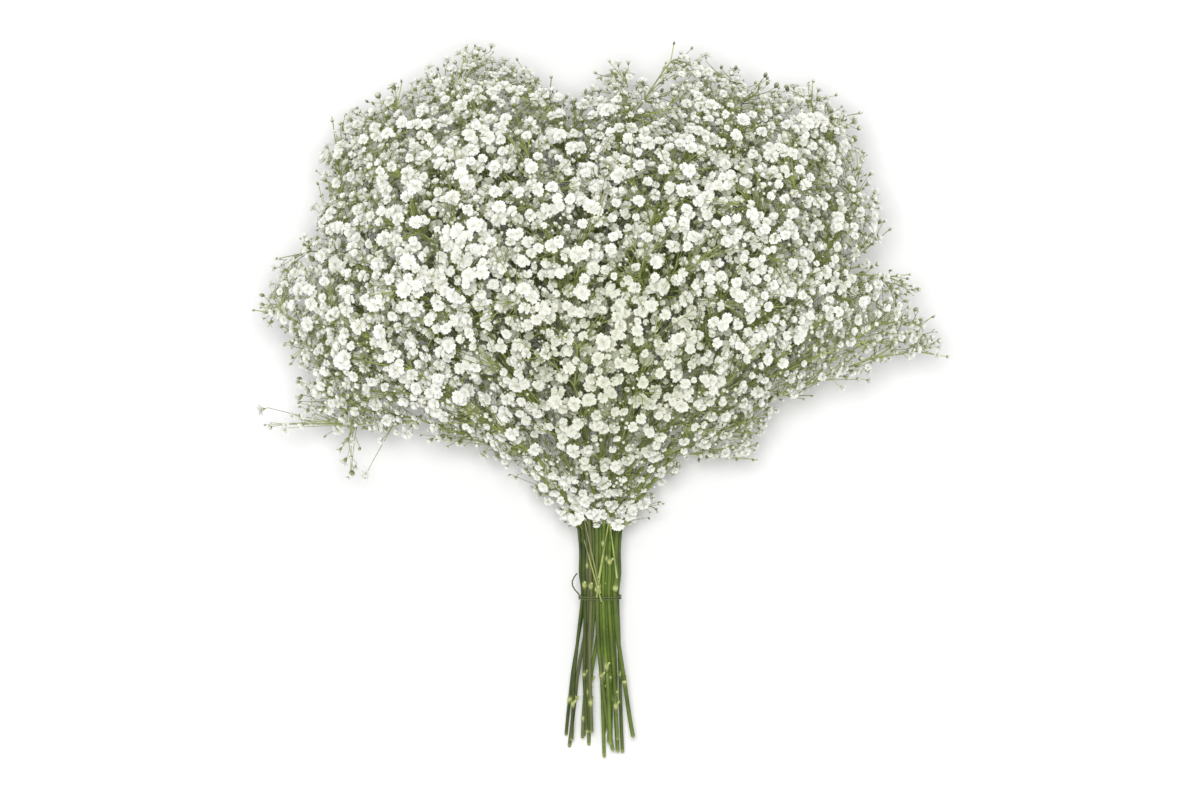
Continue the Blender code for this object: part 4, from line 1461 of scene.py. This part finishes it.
def plies(line):
    # two strands twisted round the thread's middle line
    line = np.array(line)
    lengths = np.concatenate([[0], np.cumsum(np.linalg.norm(np.diff(line, axis=0), axis=1))])
    stations = np.arange(0, lengths[-1], tie["twistLength"] / tie["twistSteps"])
    middle = np.column_stack([np.interp(stations, lengths, line[:, c]) for c in range(3)])
    ways = np.gradient(middle, axis=0)
    paths = []
    for start in (0.0, math.pi):
        path = []
        for k, (point, way) in enumerate(zip(middle, ways)):
            way = unit(way)
            side = unit(np.cross(way, (0.3, 0.9, 0.2)))
            other = np.cross(way, side)
            turn = start + 2 * math.pi * stations[k] / tie["twistLength"]
            path.append((point + tie["plyOffset"] * (math.cos(turn) * side + math.sin(turn) * other),
                         tie["plyRadius"], 0.0, 0.0))
        paths.append(path)
    return paths


# The studio

studio = {
    "floorColour": (0.96, 0.96, 0.96),
    "floorSize": 12.0,
    "floorDrop": 0.0005,
    "floorRoughness": 0.9,
    "skyStrength": 0.5,
    "keyPower": 80.0,
    "keySize": 0.9,
    "keyPlace": (-0.08, 0.2, 3.4),
    "cameraAt": (-0.0005, 0.0001),
    "cameraHeight": 5.0,       # above cameraOver, where it sees imageWidth, all in metres
    "cameraOver": 0.06,
    "imageWidth": 0.9,
}


def buildStudio():
    scene = bpy.context.scene
    half, drop = studio["floorSize"] / 2, -studio["floorDrop"]
    data = bpy.data.meshes.new("floor")
    corners = [(-half, -half, drop), (half, -half, drop), (half, half, drop), (-half, half, drop)]
    data.from_pydata(corners, [], [(0, 1, 2, 3)])
    paper = bpy.data.materials.new("floorPaper")
    paper.use_nodes = True
    shader = paper.node_tree.nodes["Principled BSDF"]
    shader.inputs["Base Color"].default_value = (*studio["floorColour"], 1.0)
    shader.inputs["Roughness"].default_value = studio["floorRoughness"]
    data.materials.append(paper)
    floor = bpy.data.objects.new("floor", data)

    world = bpy.data.worlds.new("softSky")
    world.use_nodes = True
    sky = world.node_tree.nodes["Background"]
    sky.inputs["Color"].default_value = (1.0, 1.0, 1.0, 1.0)
    sky.inputs["Strength"].default_value = studio["skyStrength"]
    scene.world = world

    key = bpy.data.objects.new("keyLight", bpy.data.lights.new("keyLight", "AREA"))
    key.data.energy = studio["keyPower"]
    key.data.size = studio["keySize"]
    key.location = studio["keyPlace"]
    key.rotation_euler = (-Vector(studio["keyPlace"])).to_track_quat("-Z", "Y").to_euler()

    camera = bpy.data.objects.new("camera", bpy.data.cameras.new("camera"))
    camera.location = (*studio["cameraAt"], studio["cameraOver"] + studio["cameraHeight"])
    camera.data.lens = camera.data.sensor_width * studio["cameraHeight"] / studio["imageWidth"]
    camera.data.clip_end = 50.0
    for thing in (floor, key, camera):
        scene.collection.objects.link(thing)
    scene.camera = camera
    scene.view_settings.view_transform = "Standard"


print("stage: planning the bunch")
stems = planBunch()
for number, stem in enumerate(stems):
    stem["number"] = number + 1
print("stage: growing the fine twigs")
dressBunch(stems)

print("stage: forms and finishes")
mottle = mottleGroup()
finishes = {"stemGreen": stemGreen(mottle), "petalWhite": petalWhite(mottle), "budCream": budCream(mottle)}
forms = {
    "Flowers": formSet("flowerForm", [flowerForm(kind, seed) for seed, kind in enumerate(whorls)]),
    "Buds": formSet("budForm", [budForm(kind, seed) for seed, kind in enumerate(budRings)]),
    "Bracts": formSet("bractForm", [bractForm(), leafForm()]),
}
trees = (stemSkinTree(), scatterTree())

for row, name in enumerate(rowNames):
    print("stage:", name, "row of stems")
    rng = np.random.default_rng(bunch["seed"] + 10 + row)
    buildRow(name, rowStems(stems, row), rng, trees, finishes, forms)

print("stage: tie thread")
leftmost = stems[bunch["stemRows"][0]]["line"][0]
paths = pathMesh("tiePaths", plies(tieLine(leftmost[-1 - stemSizes["stepsAbove"]])))
sides, steps = skinSizes["Thread"]
sizes = {"Sides": sides, "Steps": steps, "Thickness": 1.0, "Finish": threadGreen(mottle)}
declare(runTree("tieThread", paths, trees[0], sizes), ["tie_thread"])

for group in forms.values():
    for form in list(group.objects):
        bpy.data.objects.remove(form)
    bpy.data.collections.remove(group)

print("stage: studio")
buildStudio()
